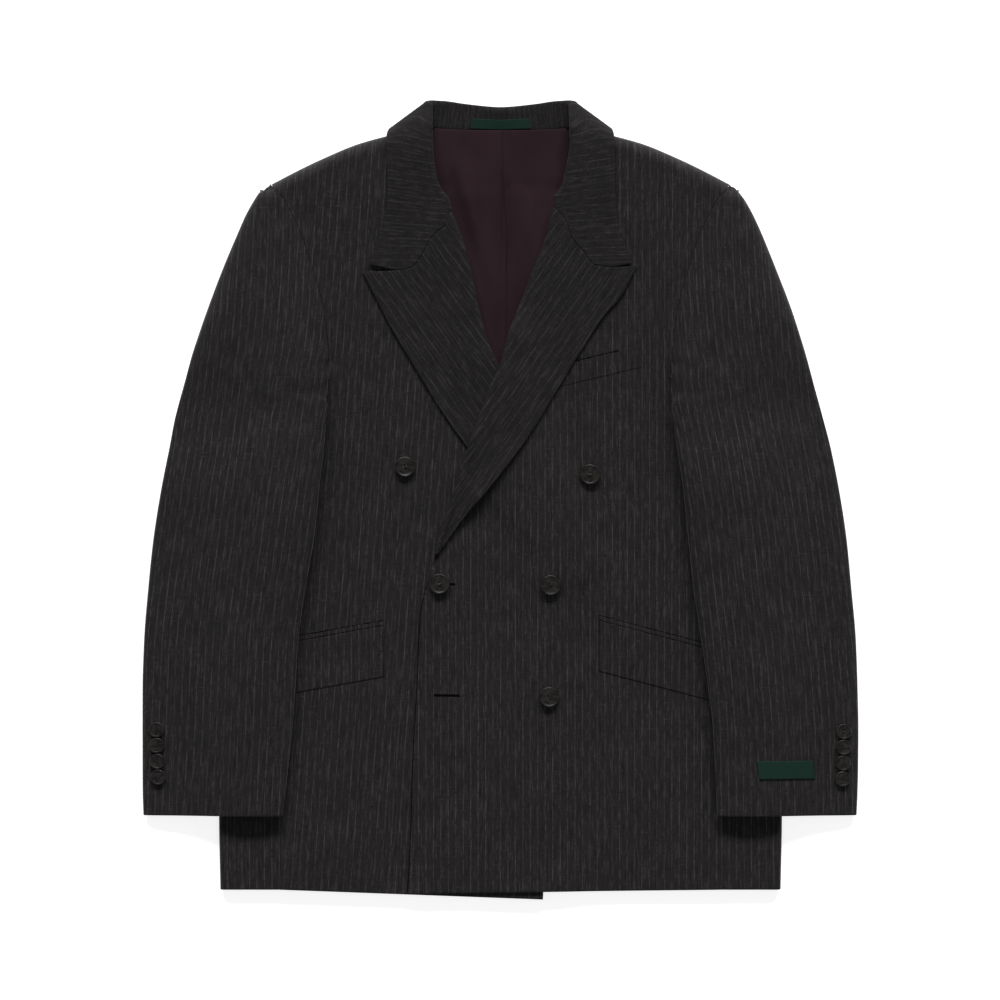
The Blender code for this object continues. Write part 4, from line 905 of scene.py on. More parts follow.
def shell(name, outer, thick, uv, finish, node, up, middle=False, straight=False,
          full_edge=False):
    """Cloth behind (or about) a fine grid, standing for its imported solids.

    With full_edge the last column keeps its thickness, for a seam sewn edge to edge.
    up is a row, a column and the way that the outer face looks there: 1.0 is up.
    """
    points = to_space(outer)
    normals = grid_normals(points)
    row, column, sign = up
    if sign * normals[row, column, 2] < 0.0:
        normals = -normals
    if straight:
        normals = np.zeros_like(normals) + np.array([0.0, 0.0, 1.0])
    last_edge = edge_shares(points.shape[1])
    if full_edge:
        last_edge[-3:] = 0.0
    sink = np.maximum(edge_shares(points.shape[0])[:, None], last_edge[None, :])
    deep = normals * thick * MM
    sink = sink[..., None] * deep
    face = points + deep / 2 if middle else points
    mesh = sheet_mesh(name, face - sink, face - deep + sink, uv)
    mesh.materials.append(finish)
    piece = placed(name, mesh)
    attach(piece, "root")
    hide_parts(*([node] if isinstance(node, str) else node))
    return piece


# ---------------------------------------------------------------- materials
class Nodes:
    """Short words for building one material's node tree."""

    def __init__(self, name):
        self.material = bpy.data.materials.new(name)
        self.material.use_nodes = True
        self.tree = self.material.node_tree
        self.shader = self.tree.nodes["Principled BSDF"]

    def put(self, socket, value):
        if isinstance(value, bpy.types.NodeSocket):
            self.tree.links.new(value, socket)
        elif socket.type == "RGBA":
            socket.default_value = (*value, 1.0)
        else:
            socket.default_value = value

    def math(self, operation, *values):
        made = self.tree.nodes.new("ShaderNodeMath")
        made.operation = operation
        for socket, value in zip(made.inputs, values):
            self.put(socket, value)
        return made.outputs[0]

    def times(self, first, second):
        return self.math("MULTIPLY", first, second)

    def step(self, value, low, high, to_low=0.0, to_high=1.0):
        """A smooth step of a value from low to high."""
        made = self.tree.nodes.new("ShaderNodeMapRange")
        made.interpolation_type = "SMOOTHSTEP"
        for key, number in zip(("Value", "From Min", "From Max", "To Min", "To Max"),
                               (value, low, high, to_low, to_high)):
            self.put(made.inputs[key], number)
        return made.outputs["Result"]

    def noise(self, x, y=0.0, z=0.0, detail=1.0, rough=0.5):
        """Noise with one wave per unit of (x, y, z); x alone may be a vector."""
        made = self.tree.nodes.new("ShaderNodeTexNoise")
        if x.type != "VECTOR":
            join = self.tree.nodes.new("ShaderNodeCombineXYZ")
            for socket, value in zip(join.inputs, (x, y, z)):
                self.put(socket, value)
            x = join.outputs[0]
        for key, value in (("Vector", x), ("Scale", 1.0), ("Detail", detail), ("Roughness", rough)):
            self.put(made.inputs[key], value)
        return made.outputs["Fac"]

    def solid_noise(self, waves, detail=1.0, rough=0.5):
        """Noise in the object's own space, with its waves to the metre."""
        place = self.tree.nodes.new("ShaderNodeTexCoord")
        scaled = self.tree.nodes.new("ShaderNodeMapping")
        self.put(scaled.inputs["Scale"], waves)
        self.put(scaled.inputs["Vector"], place.outputs["Object"])
        return self.noise(scaled.outputs[0], detail=detail, rough=rough)

    def mix(self, share, first, second):
        made = self.tree.nodes.new("ShaderNodeMix")
        made.data_type = "RGBA"
        for key, value in (("Factor", share), (6, first), (7, second)):
            self.put(made.inputs[key], value)
        return made.outputs[2]

    def cloth(self):
        """Across and along the cloth in millimetres."""
        made = self.tree.nodes.new("ShaderNodeUVMap")
        made.uv_map = "Cloth"
        split = self.tree.nodes.new("ShaderNodeSeparateXYZ")
        self.put(split.inputs[0], made.outputs[0])
        return self.times(split.outputs[0], 1000.0), self.times(split.outputs[1], 1000.0)

    def surface(self, colour, roughness, specular, bump, **more):
        """The shader's inputs, and a bump of (height, strength, distance)."""
        more.update(base_color=colour, roughness=roughness)
        self.put(self.shader.inputs["Specular IOR Level"], specular)
        for key, value in more.items():
            self.put(self.shader.inputs[key.replace("_", " ").title()], value)
        if bump:
            made = self.tree.nodes.new("ShaderNodeBump")
            for key, value in zip(("Height", "Strength", "Distance"), bump):
                self.put(made.inputs[key], value)
            self.put(self.shader.inputs["Normal"], made.outputs[0])
        return self.material


STRIPE = 7.45               # distance between pinstripes
STRIPE_HALF = 0.50          # half the width of a pinstripe
STRIPE_LEAN = 0.07          # slope of the under front's stripes


def pinstriped_wool(name, tone, stripe_strength, sheen):
    """Dark wool with broken pale pinstripes and uneven, slubbed yarns."""
    n = Nodes(name)
    across, along = n.cloth()

    def waves(to_across, to_along, shift=0.0, detail=1.0, rough=0.5, source=across):
        """Noise with these waves to the millimetre across and along the cloth."""
        return n.noise(n.times(source, to_across), n.times(along, to_along), shift, detail, rough)

    def yarn(colour, share=1.0):
        return tuple(c * tone * share for c in colour)

    wander = n.times(n.math("SUBTRACT", waves(0.05, 0.03), 0.5), 1.1)
    count = n.math("DIVIDE", n.math("ADD", across, wander), STRIPE)
    nearest = n.math("ROUND", count)
    off = n.times(n.math("ABSOLUTE", n.math("SUBTRACT", count, nearest)), STRIPE)
    line = n.step(off, STRIPE_HALF * 0.35, STRIPE_HALF * 1.5, 1.0, 0.0)
    broken = waves(7.31, 0.10, 2.0, 4.0, 0.75, nearest)
    strong = waves(5.17, 0.012, 4.0, source=nearest)
    line = n.times(line, n.step(broken, 0.36, 0.62, 0.06, 1.0))
    line = n.times(line, n.step(strong, 0.34, 0.66, 0.45, 1.0))
    warp = waves(0.46, 0.05, 5.0, 3.0, 0.75)
    weft = waves(0.10, 0.50, 9.0, 3.0, 0.75)
    gaps = n.math("MAXIMUM", n.step(warp, 0.34, 0.48, 1.0, 0.0), n.step(weft, 0.31, 0.43, 1.0, 0.0))
    dark = yarn((0.0060, 0.0052, 0.0055))
    pale = yarn((0.047, 0.0425, 0.044))
    white = yarn((0.058, 0.0535, 0.0545), stripe_strength)
    colour = n.mix(n.times(gaps, 0.8), yarn((0.0146, 0.0128, 0.0135)), dark)
    colour = n.mix(n.times(n.step(warp, 0.52, 0.66), 0.55), colour, pale)
    colour = n.mix(n.times(n.step(weft, 0.57, 0.70), 0.50), colour, pale)
    colour = n.mix(line, colour, white)
    colour = n.mix(n.step(waves(0.02, 0.02, 1.0, 2.0), 0.35, 0.65, 0.0, 0.16), colour, dark)
    ridges = n.math("ADD", n.math("ADD", warp, weft), n.times(line, 0.35))
    return n.surface(colour, 0.88, 0.22, (ridges, 0.35, 0.0004),
                     sheen_weight=sheen, sheen_roughness=0.35, sheen_tint=(0.9, 0.86, 0.88))


def satin_lining(name):
    """Plum twill lining with a soft shine along its warp."""
    n = Nodes(name)
    across, along = n.cloth()
    twill = n.math("SINE", n.times(n.math("ADD", across, along), 9.0))
    cloud = n.noise(n.times(across, 0.03), n.times(along, 0.012), 3.0, 2.0)
    colour = n.mix(n.step(cloud, 0.3, 0.7), (0.0235, 0.0132, 0.0161), (0.0295, 0.0166, 0.0202))
    return n.surface(colour, 0.58, 0.07, (twill, 0.12, 0.00012),
                     specular_tint=(0.85, 0.66, 0.72), anisotropic=0.3)


def woven_label(name):
    """Bare dark green label: fine ribs across it and an uneven weave."""
    n = Nodes(name)
    across, along = n.cloth()
    rib = n.math("SINE", n.times(along, 2 * math.pi / 0.55))
    grain = n.noise(n.times(across, 1.6), n.times(along, 2.4), 1.0, 2.0)
    colour = n.mix(n.step(grain, 0.35, 0.7), (0.0065, 0.0235, 0.0165), (0.0100, 0.0330, 0.0240))
    return n.surface(colour, 0.75, 0.12, (n.math("ADD", rib, grain), 0.25, 0.0002))


def polished_horn(name):
    """Dark horn: smoky streaks under a soft polish."""
    n = Nodes(name)
    streak = n.solid_noise((160.0, 420.0, 160.0), 3.0, 0.55)
    colour = n.mix(n.step(streak, 0.35, 0.72), (0.0050, 0.0046, 0.0042), (0.0230, 0.0205, 0.0175))
    return n.surface(colour, 0.36, 0.28, (streak, 0.05, 0.0002))


def plain_thread(name, colour):
    n = Nodes(name)
    twist = n.solid_noise((2600.0, 2600.0, 2600.0))
    darker = tuple(c * 0.6 for c in colour)
    twisted = n.mix(n.step(twist, 0.35, 0.65), darker, colour)
    return n.surface(twisted, 0.85, 0.08, (twist, 0.3, 0.0001))


WOOL = pinstriped_wool("wool_body", 1.0, 1.0, 0.22)
FACING = pinstriped_wool("wool_facing", 0.85, 0.85, 0.06)
SATIN = satin_lining("lining_satin")
LABEL = woven_label("label_woven")
HORN = polished_horn("button_horn")
THREAD = plain_thread("thread_grey", (0.020, 0.018, 0.018))
# Near-black thread: the buttonholes' real stitching, and also the thin lines of painted shade in
# pocket mouths, beside the flaps and along the over front's edge.
THREAD_AND_PAINTED_SHADE = plain_thread("thread_and_painted_shade", (0.0016, 0.0014, 0.0014))


# Columns that turn in at a seam: how far in and how far down each lies.
TURNED_IN = ((0.26, 0.25), (0.32, 2.4), (3.4, 3.0))


def turned_in(grid, last, toward, share=1.0):
    """Add columns that turn in under the next piece, as a seam's allowance does.

    Where share is 0 the cloth just runs on a little instead.
    """
    edge, before = (grid[:, -1], grid[:, -2]) if last else (grid[:, 0], grid[:, 1])
    floor_clear = np.minimum(edge[:, 2], FLOOR_CLEAR)
    share = np.broadcast_to(share, edge.shape[:1])[:, None]
    added = []
    for step, (far, drop) in enumerate(TURNED_IN, start=1):
        under = edge + np.array([toward[0] * far, toward[1] * far, -drop])
        under[:, 2] = np.maximum(under[:, 2], floor_clear)
        on = edge + unit(edge - before) * 0.3 * step
        added.append(on + (under - on) * share)
    added = np.stack(added if last else added[::-1], axis=1)
    return np.concatenate([grid, added] if last else [added, grid], axis=1)


SETTLE = 0.6                # how far the over front may sink between its layers
# Rings of neighbours that it is levelled with: distance, weight and count.
BRIDGE_RINGS = ((9.0, 0.9, 6), (18.0, 0.45, 10))
FLOOR_CLEAR = 2.2           # cloth that turns under stops this far above the table


def flat_uv(grid):
    """Cloth coordinates of a panel whose stripes run straight down the table."""
    return np.stack([grid[..., 0] - CENTRE_U, grid[..., 1]], axis=-1)


def relief_share(u, v):
    """Fades a front's relief out at its side seam, armhole and shoulder."""
    half = from_centre(u)
    _, edge, rows = FRONT_ROWS[::-1].T
    inside = ease((np.interp(v, rows, edge) - half) / 11.0)
    return inside * ease((v - np.interp(half, *SHOULDER.T) - 14.0) / 20.0)


def softened(u, v, over):
    """The front's height with the steps of the layers beneath drawn out.

    Cloth bridges a step: it rises at the step's foot, and sinks by SETTLE at most.
    """
    packed = body_top(u, v, over)
    total, weight = packed, 1.0
    for ring, share, count in BRIDGE_RINGS:
        for k in range(count):
            turn = 2 * math.pi * k / count + ring
            near = body_top(u + ring * math.cos(turn), v + ring * math.sin(turn), over)
            total = total + share * near
            weight += share
    return np.maximum(total / weight, packed - SETTLE)


def front_high(u, v, over):
    """Upper face of a front with its creases. The over one bridges its layers' steps,
    from below the collar and right of its free edge on."""
    high = body_top(u, v, over)
    if over:
        fade = ease((v - 300.0) / 60.0) * ease((u - 440.0) / 30.0)
        high = high + (softened(u, v, over) - high) * fade
    return high + front_relief(u, v) * relief_share(u, v)


def front_lift(u, v, over):
    """How far the scene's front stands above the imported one."""
    return front_high(u, v, over) - body_top(u, v, over)


def make_front(over):
    name = "front_left" if over else "front_right"
    grid, down, _ = finer(front_grid(over))
    lower = 1.0 - ease((down - 17.0) / 2.0)[:, None]
    u, v = grid[..., 0], grid[..., 1]
    grid[..., 2] += (front_high(u, v, over) - grid[..., 2]) * lower
    uv = flat_uv(grid)
    if not over:
        uv[..., 0] += STRIPE_LEAN * (v - LAPEL_FOOT_V)
    piece = shell("cloth_" + name, grid, BODY_CLOTH, uv, WOOL, name, (20, 20, 1.0), full_edge=True)


def make_back(side):
    word = "left" if side > 0 else "right"
    grid, _, _ = finer(back_grid(side), step=6.0)
    u, v = grid[..., 0], grid[..., 1]
    inside = ease((890.0 - v) / 60.0) * ease((v - 190.0) / 40.0)
    inside = inside * ease((225.0 - from_centre(u)) / 40.0)
    grid[..., 2] += np.maximum(creases(BACK_CREASES, u, v), 0.0) * inside
    piece = shell("cloth_back_" + word, grid, BODY_CLOTH, flat_uv(grid), WOOL, "back_" + word,
                  (4, 4, 1.0), straight=True)


def make_side(side):
    word = "left" if side > 0 else "right"
    grid, _, _ = finer(side_grid(side))
    grid = turned_in(grid, False, (-side, 0.0))
    grid = np.concatenate([grid, grid[:, -1:] - np.array([0.82 * side, 0.0, 0.0])], axis=1)
    across = run_along(grid, 1) * side + grid[:, :1, 0] - CENTRE_U
    piece = shell("cloth_side_" + word, grid, BODY_CLOTH, np.stack([across, grid[..., 1]], axis=-1),
                  WOOL, "side_" + word, (20, 9, 1.0), full_edge=True)


def let_down(over, across, v):
    """How far an over lapel's edge lies below its solid's; it stands up near its tip."""
    if not over:
        return 0.0 * v
    stands = 3.3 * ease((v - 425.0) / 60.0) * ease((LAPEL_FOOT_V - v) / 50.0)
    return ease((np.asarray(across, float) - 8.0) / 4.0) * (0.9 - stands)


def make_lapel(over):
    name = "lapel_left" if over else "lapel_right"
    grid, _, across = finer(lapel_grid(over), step=2.2)
    u, v = grid[..., 0], grid[..., 1]
    grid[..., 2] += front_lift(u, v, over) - let_down(over, across, v)
    # stripes: along the outer edge, and carried on round the roll
    _, _, edge = lapel_rows(over)
    along = unit(edge[-1] - edge[0])
    off = grid[..., :2] - edge[0]
    stripe = off[..., 0] * along[1] - off[..., 1] * along[0]
    turned = int(np.searchsorted(across, 6.0))
    run = run_along(grid, 1)
    start = stripe[:, turned:turned + 1]
    rolled = start + np.sign(stripe[:, -1:] - start) * (run - run[:, turned:turned + 1])
    stripe = np.where(np.arange(grid.shape[1])[None, :] < turned, rolled, stripe)
    piece = shell("cloth_" + name, grid, FACED_CLOTH, np.stack([stripe, off @ along], axis=-1),
                  FACING, name, (20, turned + 4, 1.0), middle=True)


def make_collar(with_pieces):
    packed = collar_grid()
    grid, down, across = finer(packed, step=2.4)
    last = len(packed) - 1
    # let both ends down onto the lapels, along the gorge
    for over, from_end, end in ((False, down, 0), (True, last - down, -1)):
        solid, lapel = packed[end], lapel_grid(over)[-1]
        lower = [solid[k, 2] - lapel[13 - k, 2] + let_down(over, 13 - k, 240.0) for k in range(13)]
        lower[0] = 1.0
        lower[1] = (1.0 + lower[2]) / 2
        from_end = from_end[:, None]
        seam = np.interp(across, np.arange(16), lower + [0.0] * 3) * ease((5.0 - from_end) / 5.0)
        leaf = ease((3.0 - across) / 3.0) * ease((7.0 - from_end) / 1.5)
        grid[..., 2] -= np.where(from_end < 7.0, np.maximum(leaf, seam), 0.0)
        grid[..., 1] += 2.3 * ease((2.0 - across) / 2.0) * ease(1.0 - from_end)
    # stripes: level across both fronts, then square to the band round the neck
    reference = int(np.searchsorted(across, 3.0))
    v = grid[..., 1]
    inward = 112.5 - from_centre(grid[..., 0])
    level = v - np.interp(v, (150.0, 200.0, 265.0), (0.2, 0.13, 0.0)) * inward
    run = run_along(grid, 0)[:, reference]
    right, left = (int(np.searchsorted(down, place)) for place in (7.0, last - 7.0))
    band = level[right, reference] - (run - run[right])
    turn_over = band[left] + level[left, reference]
    uv_across = np.broadcast_to(band[:, None], v.shape).copy()
    for field, from_end in ((level, down), (turn_over - level, last - down)):
        uv_across += (field - uv_across) * (1.0 - ease((from_end - 5.5) / 3.0))[:, None]
    piece = shell("cloth_collar", grid, FACED_CLOTH,
                  np.stack([uv_across, run_along(grid, 1)], axis=-1),
                  FACING, "collar", (30, 8, 1.0), middle=True)


def sleeve_share(v):
    """Fades a sleeve's relief out toward its cuff and its head's seam."""
    return ease((700.0 - v) / 70.0) * ease((v - 205.0) / 40.0)


EVEN_REACH = 12.0           # reach of the short waves taken out of a sleeve


def evened(grid, reach):
    """Heights with short waves down each column taken out."""
    v = grid[..., 1].mean(axis=1)
    weight = np.exp(-(((v[:, None] - v[None, :]) / reach) ** 2)) * np.gradient(-v)[None, :]
    return (weight / weight.sum(axis=1, keepdims=True)) @ grid[..., 2]


UNDERARM_STEP = table("half high",
    171, 0.3,  174, 2.1,  177.5, 4.8,  181.5, 4.4,  185.5, 3.2,  189.5, 2.8,  194.5, 2,
    199.5, 1.6,  209.5, 0.7,  219.5, 0)
UNDERARM_SPREAD = table("v share",
    335, 0, 365, 0.2, 391, 0.45, 404, -0.55, 430, -0.25, 465, 0)


def underarm_eased(u, v):
    """Spreads the rise from a sleeve's head to its arm over a hand's breadth."""
    step = np.interp(from_centre(u), *UNDERARM_STEP.T)
    return step * np.interp(v, *UNDERARM_SPREAD.T)


# Rows that close a sleeve's crown: out and down at its tip as shares of the
# bulge and the fall, far in and down beside it.
CROWN_ROWS = table("out down far drop",
    0.6, 0.1, 0.7, 0.25,  1, 0.45, 1.5, 0.9,  0.9, 0.85, 2.6, 2.3,  0.5, 1, 3.8, 3.2)


def closed_crown(grid, side, place):
    """Fold the crown down at its tip, and turn it in under the shoulder beside it."""
    edge = grid[-1]
    tip = 1.0 - ease((place - 9.3) / 1.2)[:, None]
    bulge = 0.5 + 3.0 * np.exp(-(((place - 8.8) / 1.4) ** 2))
    fall = np.maximum(edge[:, 2] - 2.6, 0.0)
    added = []
    for out, down, far, drop in CROWN_ROWS:
        folded = edge + np.stack([0.08 * side * bulge * out, -bulge * out, -fall * down], axis=-1)
        under = edge + np.array([-0.6 * side * far, -0.8 * far, -drop])
        under[:, 2] = np.maximum(under[:, 2], np.minimum(edge[:, 2], FLOOR_CLEAR))
        added.append(under + (folded - under) * tip)
    return np.concatenate([grid, np.stack(added)])


def make_sleeve(side):
    word = "left" if side > 0 else "right"
    grid, _, across = finer(sleeve_top_grid(side))
    inward = ease((across - 0.6) / 2.4) * ease((13.2 - across) / 2.2)
    u, v = grid[..., 0], grid[..., 1]
    grid[..., 2] += underarm_eased(u, v)
    fade = ease((v - 318.0) / 24.0) * ease((500.0 - v) / 40.0)
    grid[..., 2] += (evened(grid, EVEN_REACH) - grid[..., 2]) * fade
    grid[..., 2] += sleeve_relief(u, v) * sleeve_share(v) * inward
    grid = turned_in(grid, True, (-side, 0.0), ease((378.0 - grid[:, -1, 1]) / 26.0))
    grid = closed_crown(grid, side, np.append(across, (14.2, 14.4, 14.6)))
    middle = int(np.searchsorted(across, 7.0))
    run = run_along(grid, 1)
    along = np.broadcast_to(run_along(grid, 0)[:, middle:middle + 1], run.shape)
    top = shell("cloth_sleeve_top_" + word, grid, SLEEVE_CLOTH,
                np.stack([(run - run[:, middle:middle + 1]) * -side, along], axis=-1), WOOL,
                ("sleeve_top_" + word, "sleeve_top_" + word + "_head"), (60, middle, 1.0))
    below, _, _ = finer(sleeve_under_grid(side), step=4.0)
    under = shell("cloth_sleeve_under_" + word, below, SLEEVE_CLOTH,
                  np.stack([run_along(below, 1), below[..., 1]], axis=-1), WOOL,
                  ["sleeve_under_" + word + end for end in ("", "_inner", "_head")],
                  (20, below.shape[1] * 3 // 4, -1.0))


def hill(off, wide):
    return np.exp(-((off / wide) ** 2))


def make_lining():
    """The lining, its back pleat laid over to the right, its top sewn to the collar."""
    grid = lining_grid()
    grid = between(grid, places(grid, 0, step=3.6))
    grid = between_columns(grid, places(grid, 1, step=1.1))
    u, v = grid[..., 0].copy(), grid[..., 1].copy()
    off = u - CENTRE_U
    deep = pleat_share(v)
    packed = lining_packed(u, v)
    grid[..., 2] += 6.75 - 1.9 * np.maximum(v - 150.0, 0.0) / 250.0 - packed
    upper = ease((235.0 - v) / 50.0)
    fallen = ease((u - 506.0 + 4.0 * upper) / (1.2 + 2.6 * upper))
    laid_over = ease((u - 484.0) / 18.0) * (1.0 - fallen)
    grid[..., 2] += 3.0 * laid_over * (0.3 + 0.7 * deep) - 3.4 * hill(off - 3.5, 4.5) * deep
    # soft swells on both sides of the pleat, inside the roll lines
    swell = ease((v - 140.0) / 66.0) * ease((PLEAT_END_V - v) / 130.0)
    swell = swell * ease((u - 432.0 - 0.3 * (v - 130.0)) / 18.0)
    swell = swell * ease((574.0 - 0.33 * (v - 130.0) - u) / 18.0)
    grid[..., 2] += swell * (4.6 * hill(u - 470.0, 27.0) + 1.6 * hill(u - 540.0, 22.0))
    grid[..., 2] += creases(LINING_CREASES, u, v) * ease((v - 138.0) / 14.0)
    grid[..., 2] -= 0.2 * ease((138.0 - v) / 7.0)
    grid[..., 2] = np.maximum(grid[..., 2], packed - 0.25)
    grid[..., 1] -= (3.2 + 1.7 * (off / 60.0) ** 2) * ease((141.0 - v) / 8.0)
    piece = shell("cloth_lining_back", grid, LINING_SHEET, flat_uv(grid), SATIN, "lining_back",
                  (10, 10, 1.0), straight=True)


def patch(downs, across, spot):
    """Rows of (u, v, z) points: spot(share across, share down) for each place."""
    return [
        [spot(share, down) for share in np.linspace(0.0, 1.0, across)]
        for down in np.linspace(0.0, 1.0, downs)]


def strip(word, thick, rows, finish):
    """A small piece on its carrier, from rows of upper points. thick is a number, or one a row."""
    grid, down, _ = finer(np.array(rows), step=1.6)
    if not isinstance(thick, float):
        thick = np.interp(down, np.arange(len(thick)), thick)[:, None, None]
    piece = shell("cloth_" + word, grid, thick, flat_uv(grid), finish, word, (2, 2, 1.0),
                  straight=True)
    return piece


def mouth(name, line, lift, thick):
    """Painted shade: a thin near-black thread laid in a pocket's mouth, beside a flap or along an
    edge, where only shade falls; its thickness uneven.
    """
    rng = np.random.default_rng(len(name) + int(line[0][0]))
    points = between(np.array(line), np.linspace(0.0, len(line) - 1.0, 3 * len(line)))
    points[:, 2] += lift
    thread_run(name, [to_space(points)], thick * MM, rng.uniform(0.3, 1.2, len(points)))


def make_edge_shadeline():
    """A painted shade line along the over front's free edge, from the lapel down to the hem:
    near-black thread where the edge's shadow falls.
    """
    edge = front_grid(True)[:, 0]
    edge = edge[edge[:, 1] > LAPEL_FOOT_V - 8.0]
    edge = edge[np.argsort(edge[:, 1])]
    count = int((edge[-1, 1] - edge[0, 1]) / 4.0)
    line = between(edge, np.linspace(0.0, len(edge) - 1.0, count))
    line[:, 0] -= 0.35
    mouth("edge_stitching", line, lift=-0.9, thick=1.1)


def make_pockets():
    for word, pocket in zip(("left", "right"), POCKETS):
        side, inner_half, top_v, slope, long, tall = pocket

        def on_front(along, down, high):
            u = float(on_side(inner_half + along, side))
            v = top_v + slope * along + down
            return u, v, float(front_high(u, v, side > 0)) + 0.2 + high

        def on_flap(share, down):
            corner = max(0.0, long * share - (long - FLAP_CORNER)) / FLAP_CORNER
            cut = FLAP_CORNER * (1 - math.sqrt(1 - corner * corner))
            return on_front(long * share, down * (tall - cut), np.interp(down, (0, 1), FLAP_THICK))

        def on_jet(share, down):
            return on_front(long * share, JET_TALL * (down - 1.0) - SEAM, JET_THICK)

        jet = patch(3, 25, on_jet)
        flap = patch(9, 33, on_flap)
        sewn_in = strip("jet_" + word, JET_THICK, jet, WOOL)
        strip("flap_" + word, np.linspace(*FLAP_THICK, 9), flap, WOOL)
        # Painted shade lines: near-black thread along the pocket's mouth above and below the jet,
        # and down the flap's inner side.
        mouth("mouth_%s_upper" % word, jet[0], lift=-0.15, thick=0.9)
        mouth("mouth_%s_lower" % word, jet[-1], lift=0.1, thick=1.1)
        mouth("flap_side_" + word, [row[0] for row in flap], lift=-0.7, thick=0.8)


def make_welt():
    def on_welt(share, down):
        u, v = np.array([1.0, share, down]) @ WELT_PLACE
        thick = np.interp(down, (0, 1), WELT_THICK)
        return u, v, float(front_high(u, v, True)) + 0.1 + thick

    rows = patch(7, 21, on_welt)
    strip("breast_welt", np.linspace(*WELT_THICK, 7), rows, WOOL)
    # Painted shade line: near-black thread along the welt's upper edge, where the pocket's mouth
    # lies in shade.
    mouth("mouth_breast_upper", rows[0][:16], lift=-0.1, thick=1.1)


def make_sleeve_label():
    def on_sleeve(share, down):
        u, v = np.array([1.0, share, down]) @ SLEEVE_LABEL_PLACE
        return u, v, sleeve_height(LEFT, u - CENTRE_U, v) + 0.4 + LABEL_CLOTH

    strip("label_sleeve", LABEL_CLOTH, patch(4, 13, on_sleeve), LABEL)


def make_neck_label():
    """The bare label on the inside of the collar's stand."""
    points = collar_grid()
    normals = grid_normals(to_space(points))

    def on_stand(share, down):
        share = 2.0 * share - 1.0
        down = np.interp(down, (0, 1), NECK_LABEL_DOWN)
        k = len(points) // 2 + share
        low = min(int(math.floor(k)), len(points) - 2)
        t = k - low
        spot, normal = (field[low] * (1 - t) + field[low + 1] * t for field in (points, normals))
        spot = spot[-4] * (1 - down) + spot[-1] * down
        up = normal[-2] * np.sign(normal[-2][2]) * (COLLAR_CLOTH / 2 + 0.35)
        return spot[0] + up[0], spot[1] - up[1], spot[2] + up[2] + LABEL_CLOTH

    return strip("label_neck", LABEL_CLOTH, patch(7, 17, on_stand), LABEL)


# ---------------------------------------------------------------- buttons
# A button from its foot to its dish: distance out and height, as shares of its radius.
BUTTON_PROFILE = (
    (0.55, 0.130), (0.86, 0.150), (0.95, 0.185), (0.995, 0.245),
    (1.00, 0.300), (0.990, 0.360), (0.955, 0.410), (0.90, 0.430), (0.845, 0.420), (0.79, 0.388),
    (0.72, 0.362), (0.62, 0.350), (0.40, 0.343),
)


def rod(builder, spot, sides, wide, narrow, long):
    """Add a capped cone or cylinder about a matrix's own Z axis."""
    bmesh.ops.create_cone(builder, cap_ends=True, segments=sides, radius1=wide, radius2=narrow,
                          depth=long, matrix=spot)


def from_builder(name, builder):
    mesh = bpy.data.meshes.new(name)
    builder.to_mesh(mesh)
    builder.free()
    return placed(name, mesh)


def turned_button(name, radius):
    """A turned four-hole button, its thread cross and its shank, about its foot."""
    turned, drilled = bmesh.new(), bmesh.new()
    sides = 56
    turns = [2 * math.pi * k / sides for k in range(sides)]
    rings = []
    for share, high in BUTTON_PROFILE:
        out, up = share * radius, high * radius
        rings.append([
            turned.verts.new((out * math.cos(turn), out * math.sin(turn), up)) for turn in turns])
    for low, high in zip(rings[:-1], rings[1:]):
        for k in range(sides):
            after = (k + 1) % sides
            turned.faces.new((low[k], low[after], high[after], high[k]))
    turned.faces.new(rings[0][::-1])
    turned.faces.new(rings[-1])
    hole = 0.085 * radius
    for degrees in (45.0, 135.0, 225.0, 315.0):
        turn = math.radians(degrees)
        spot = Vector((0.2 * math.cos(turn), 0.2 * math.sin(turn), 0.25)) * radius
        rod(drilled, Matrix.Translation(spot), 14, hole, hole, radius)
    disc = from_builder(name + "_disc", turned)
    holes = from_builder(name + "_holes", drilled)
    cut = disc.modifiers.new("holes", "BOOLEAN")
    cut.operation = "DIFFERENCE"
    cut.solver = "EXACT"
    cut.object = holes
    bpy.context.view_layer.update()
    drilled_disc = disc.evaluated_get(bpy.context.evaluated_depsgraph_get())
    result = bpy.data.meshes.new_from_object(drilled_disc)
    for made in (disc, holes):
        bpy.data.objects.remove(made, do_unlink=True)
    final = bmesh.new()
    final.from_mesh(result)
    horn_faces = len(final.faces)
    wire = 0.042 * radius
    lying = Matrix.Rotation(math.pi / 2, 4, "Y")
    for layer, degrees in enumerate((45.0, 135.0)):
        for shift in (-0.5, 0.5):
            lift = Matrix.Translation((0.0, shift * wire * 1.7, (0.362 + 0.03 * layer) * radius))
            spin = Matrix.Rotation(math.radians(degrees), 4, "Z")
            rod(final, spin @ lift @ lying, 8, wire, wire, 0.43 * radius)
    shank = SHANK_SHARE * radius
    upright = Matrix.Translation((0.0, 0.0, 0.075 * radius))
    rod(final, upright, 14, shank * 0.9, shank * 0.7, 0.13 * radius)
    for number, face in enumerate(final.faces):
        face.material_index = int(number >= horn_faces)
    final.to_mesh(result)
    final.free()
    result.transform(Matrix.Scale(MM, 4))
    result.name = name
    result.materials.clear()
    for finish in (HORN, THREAD):
        result.materials.append(finish)
    result.shade_smooth()
    result.set_sharp_from_angle(angle=math.radians(38.0))
    return result


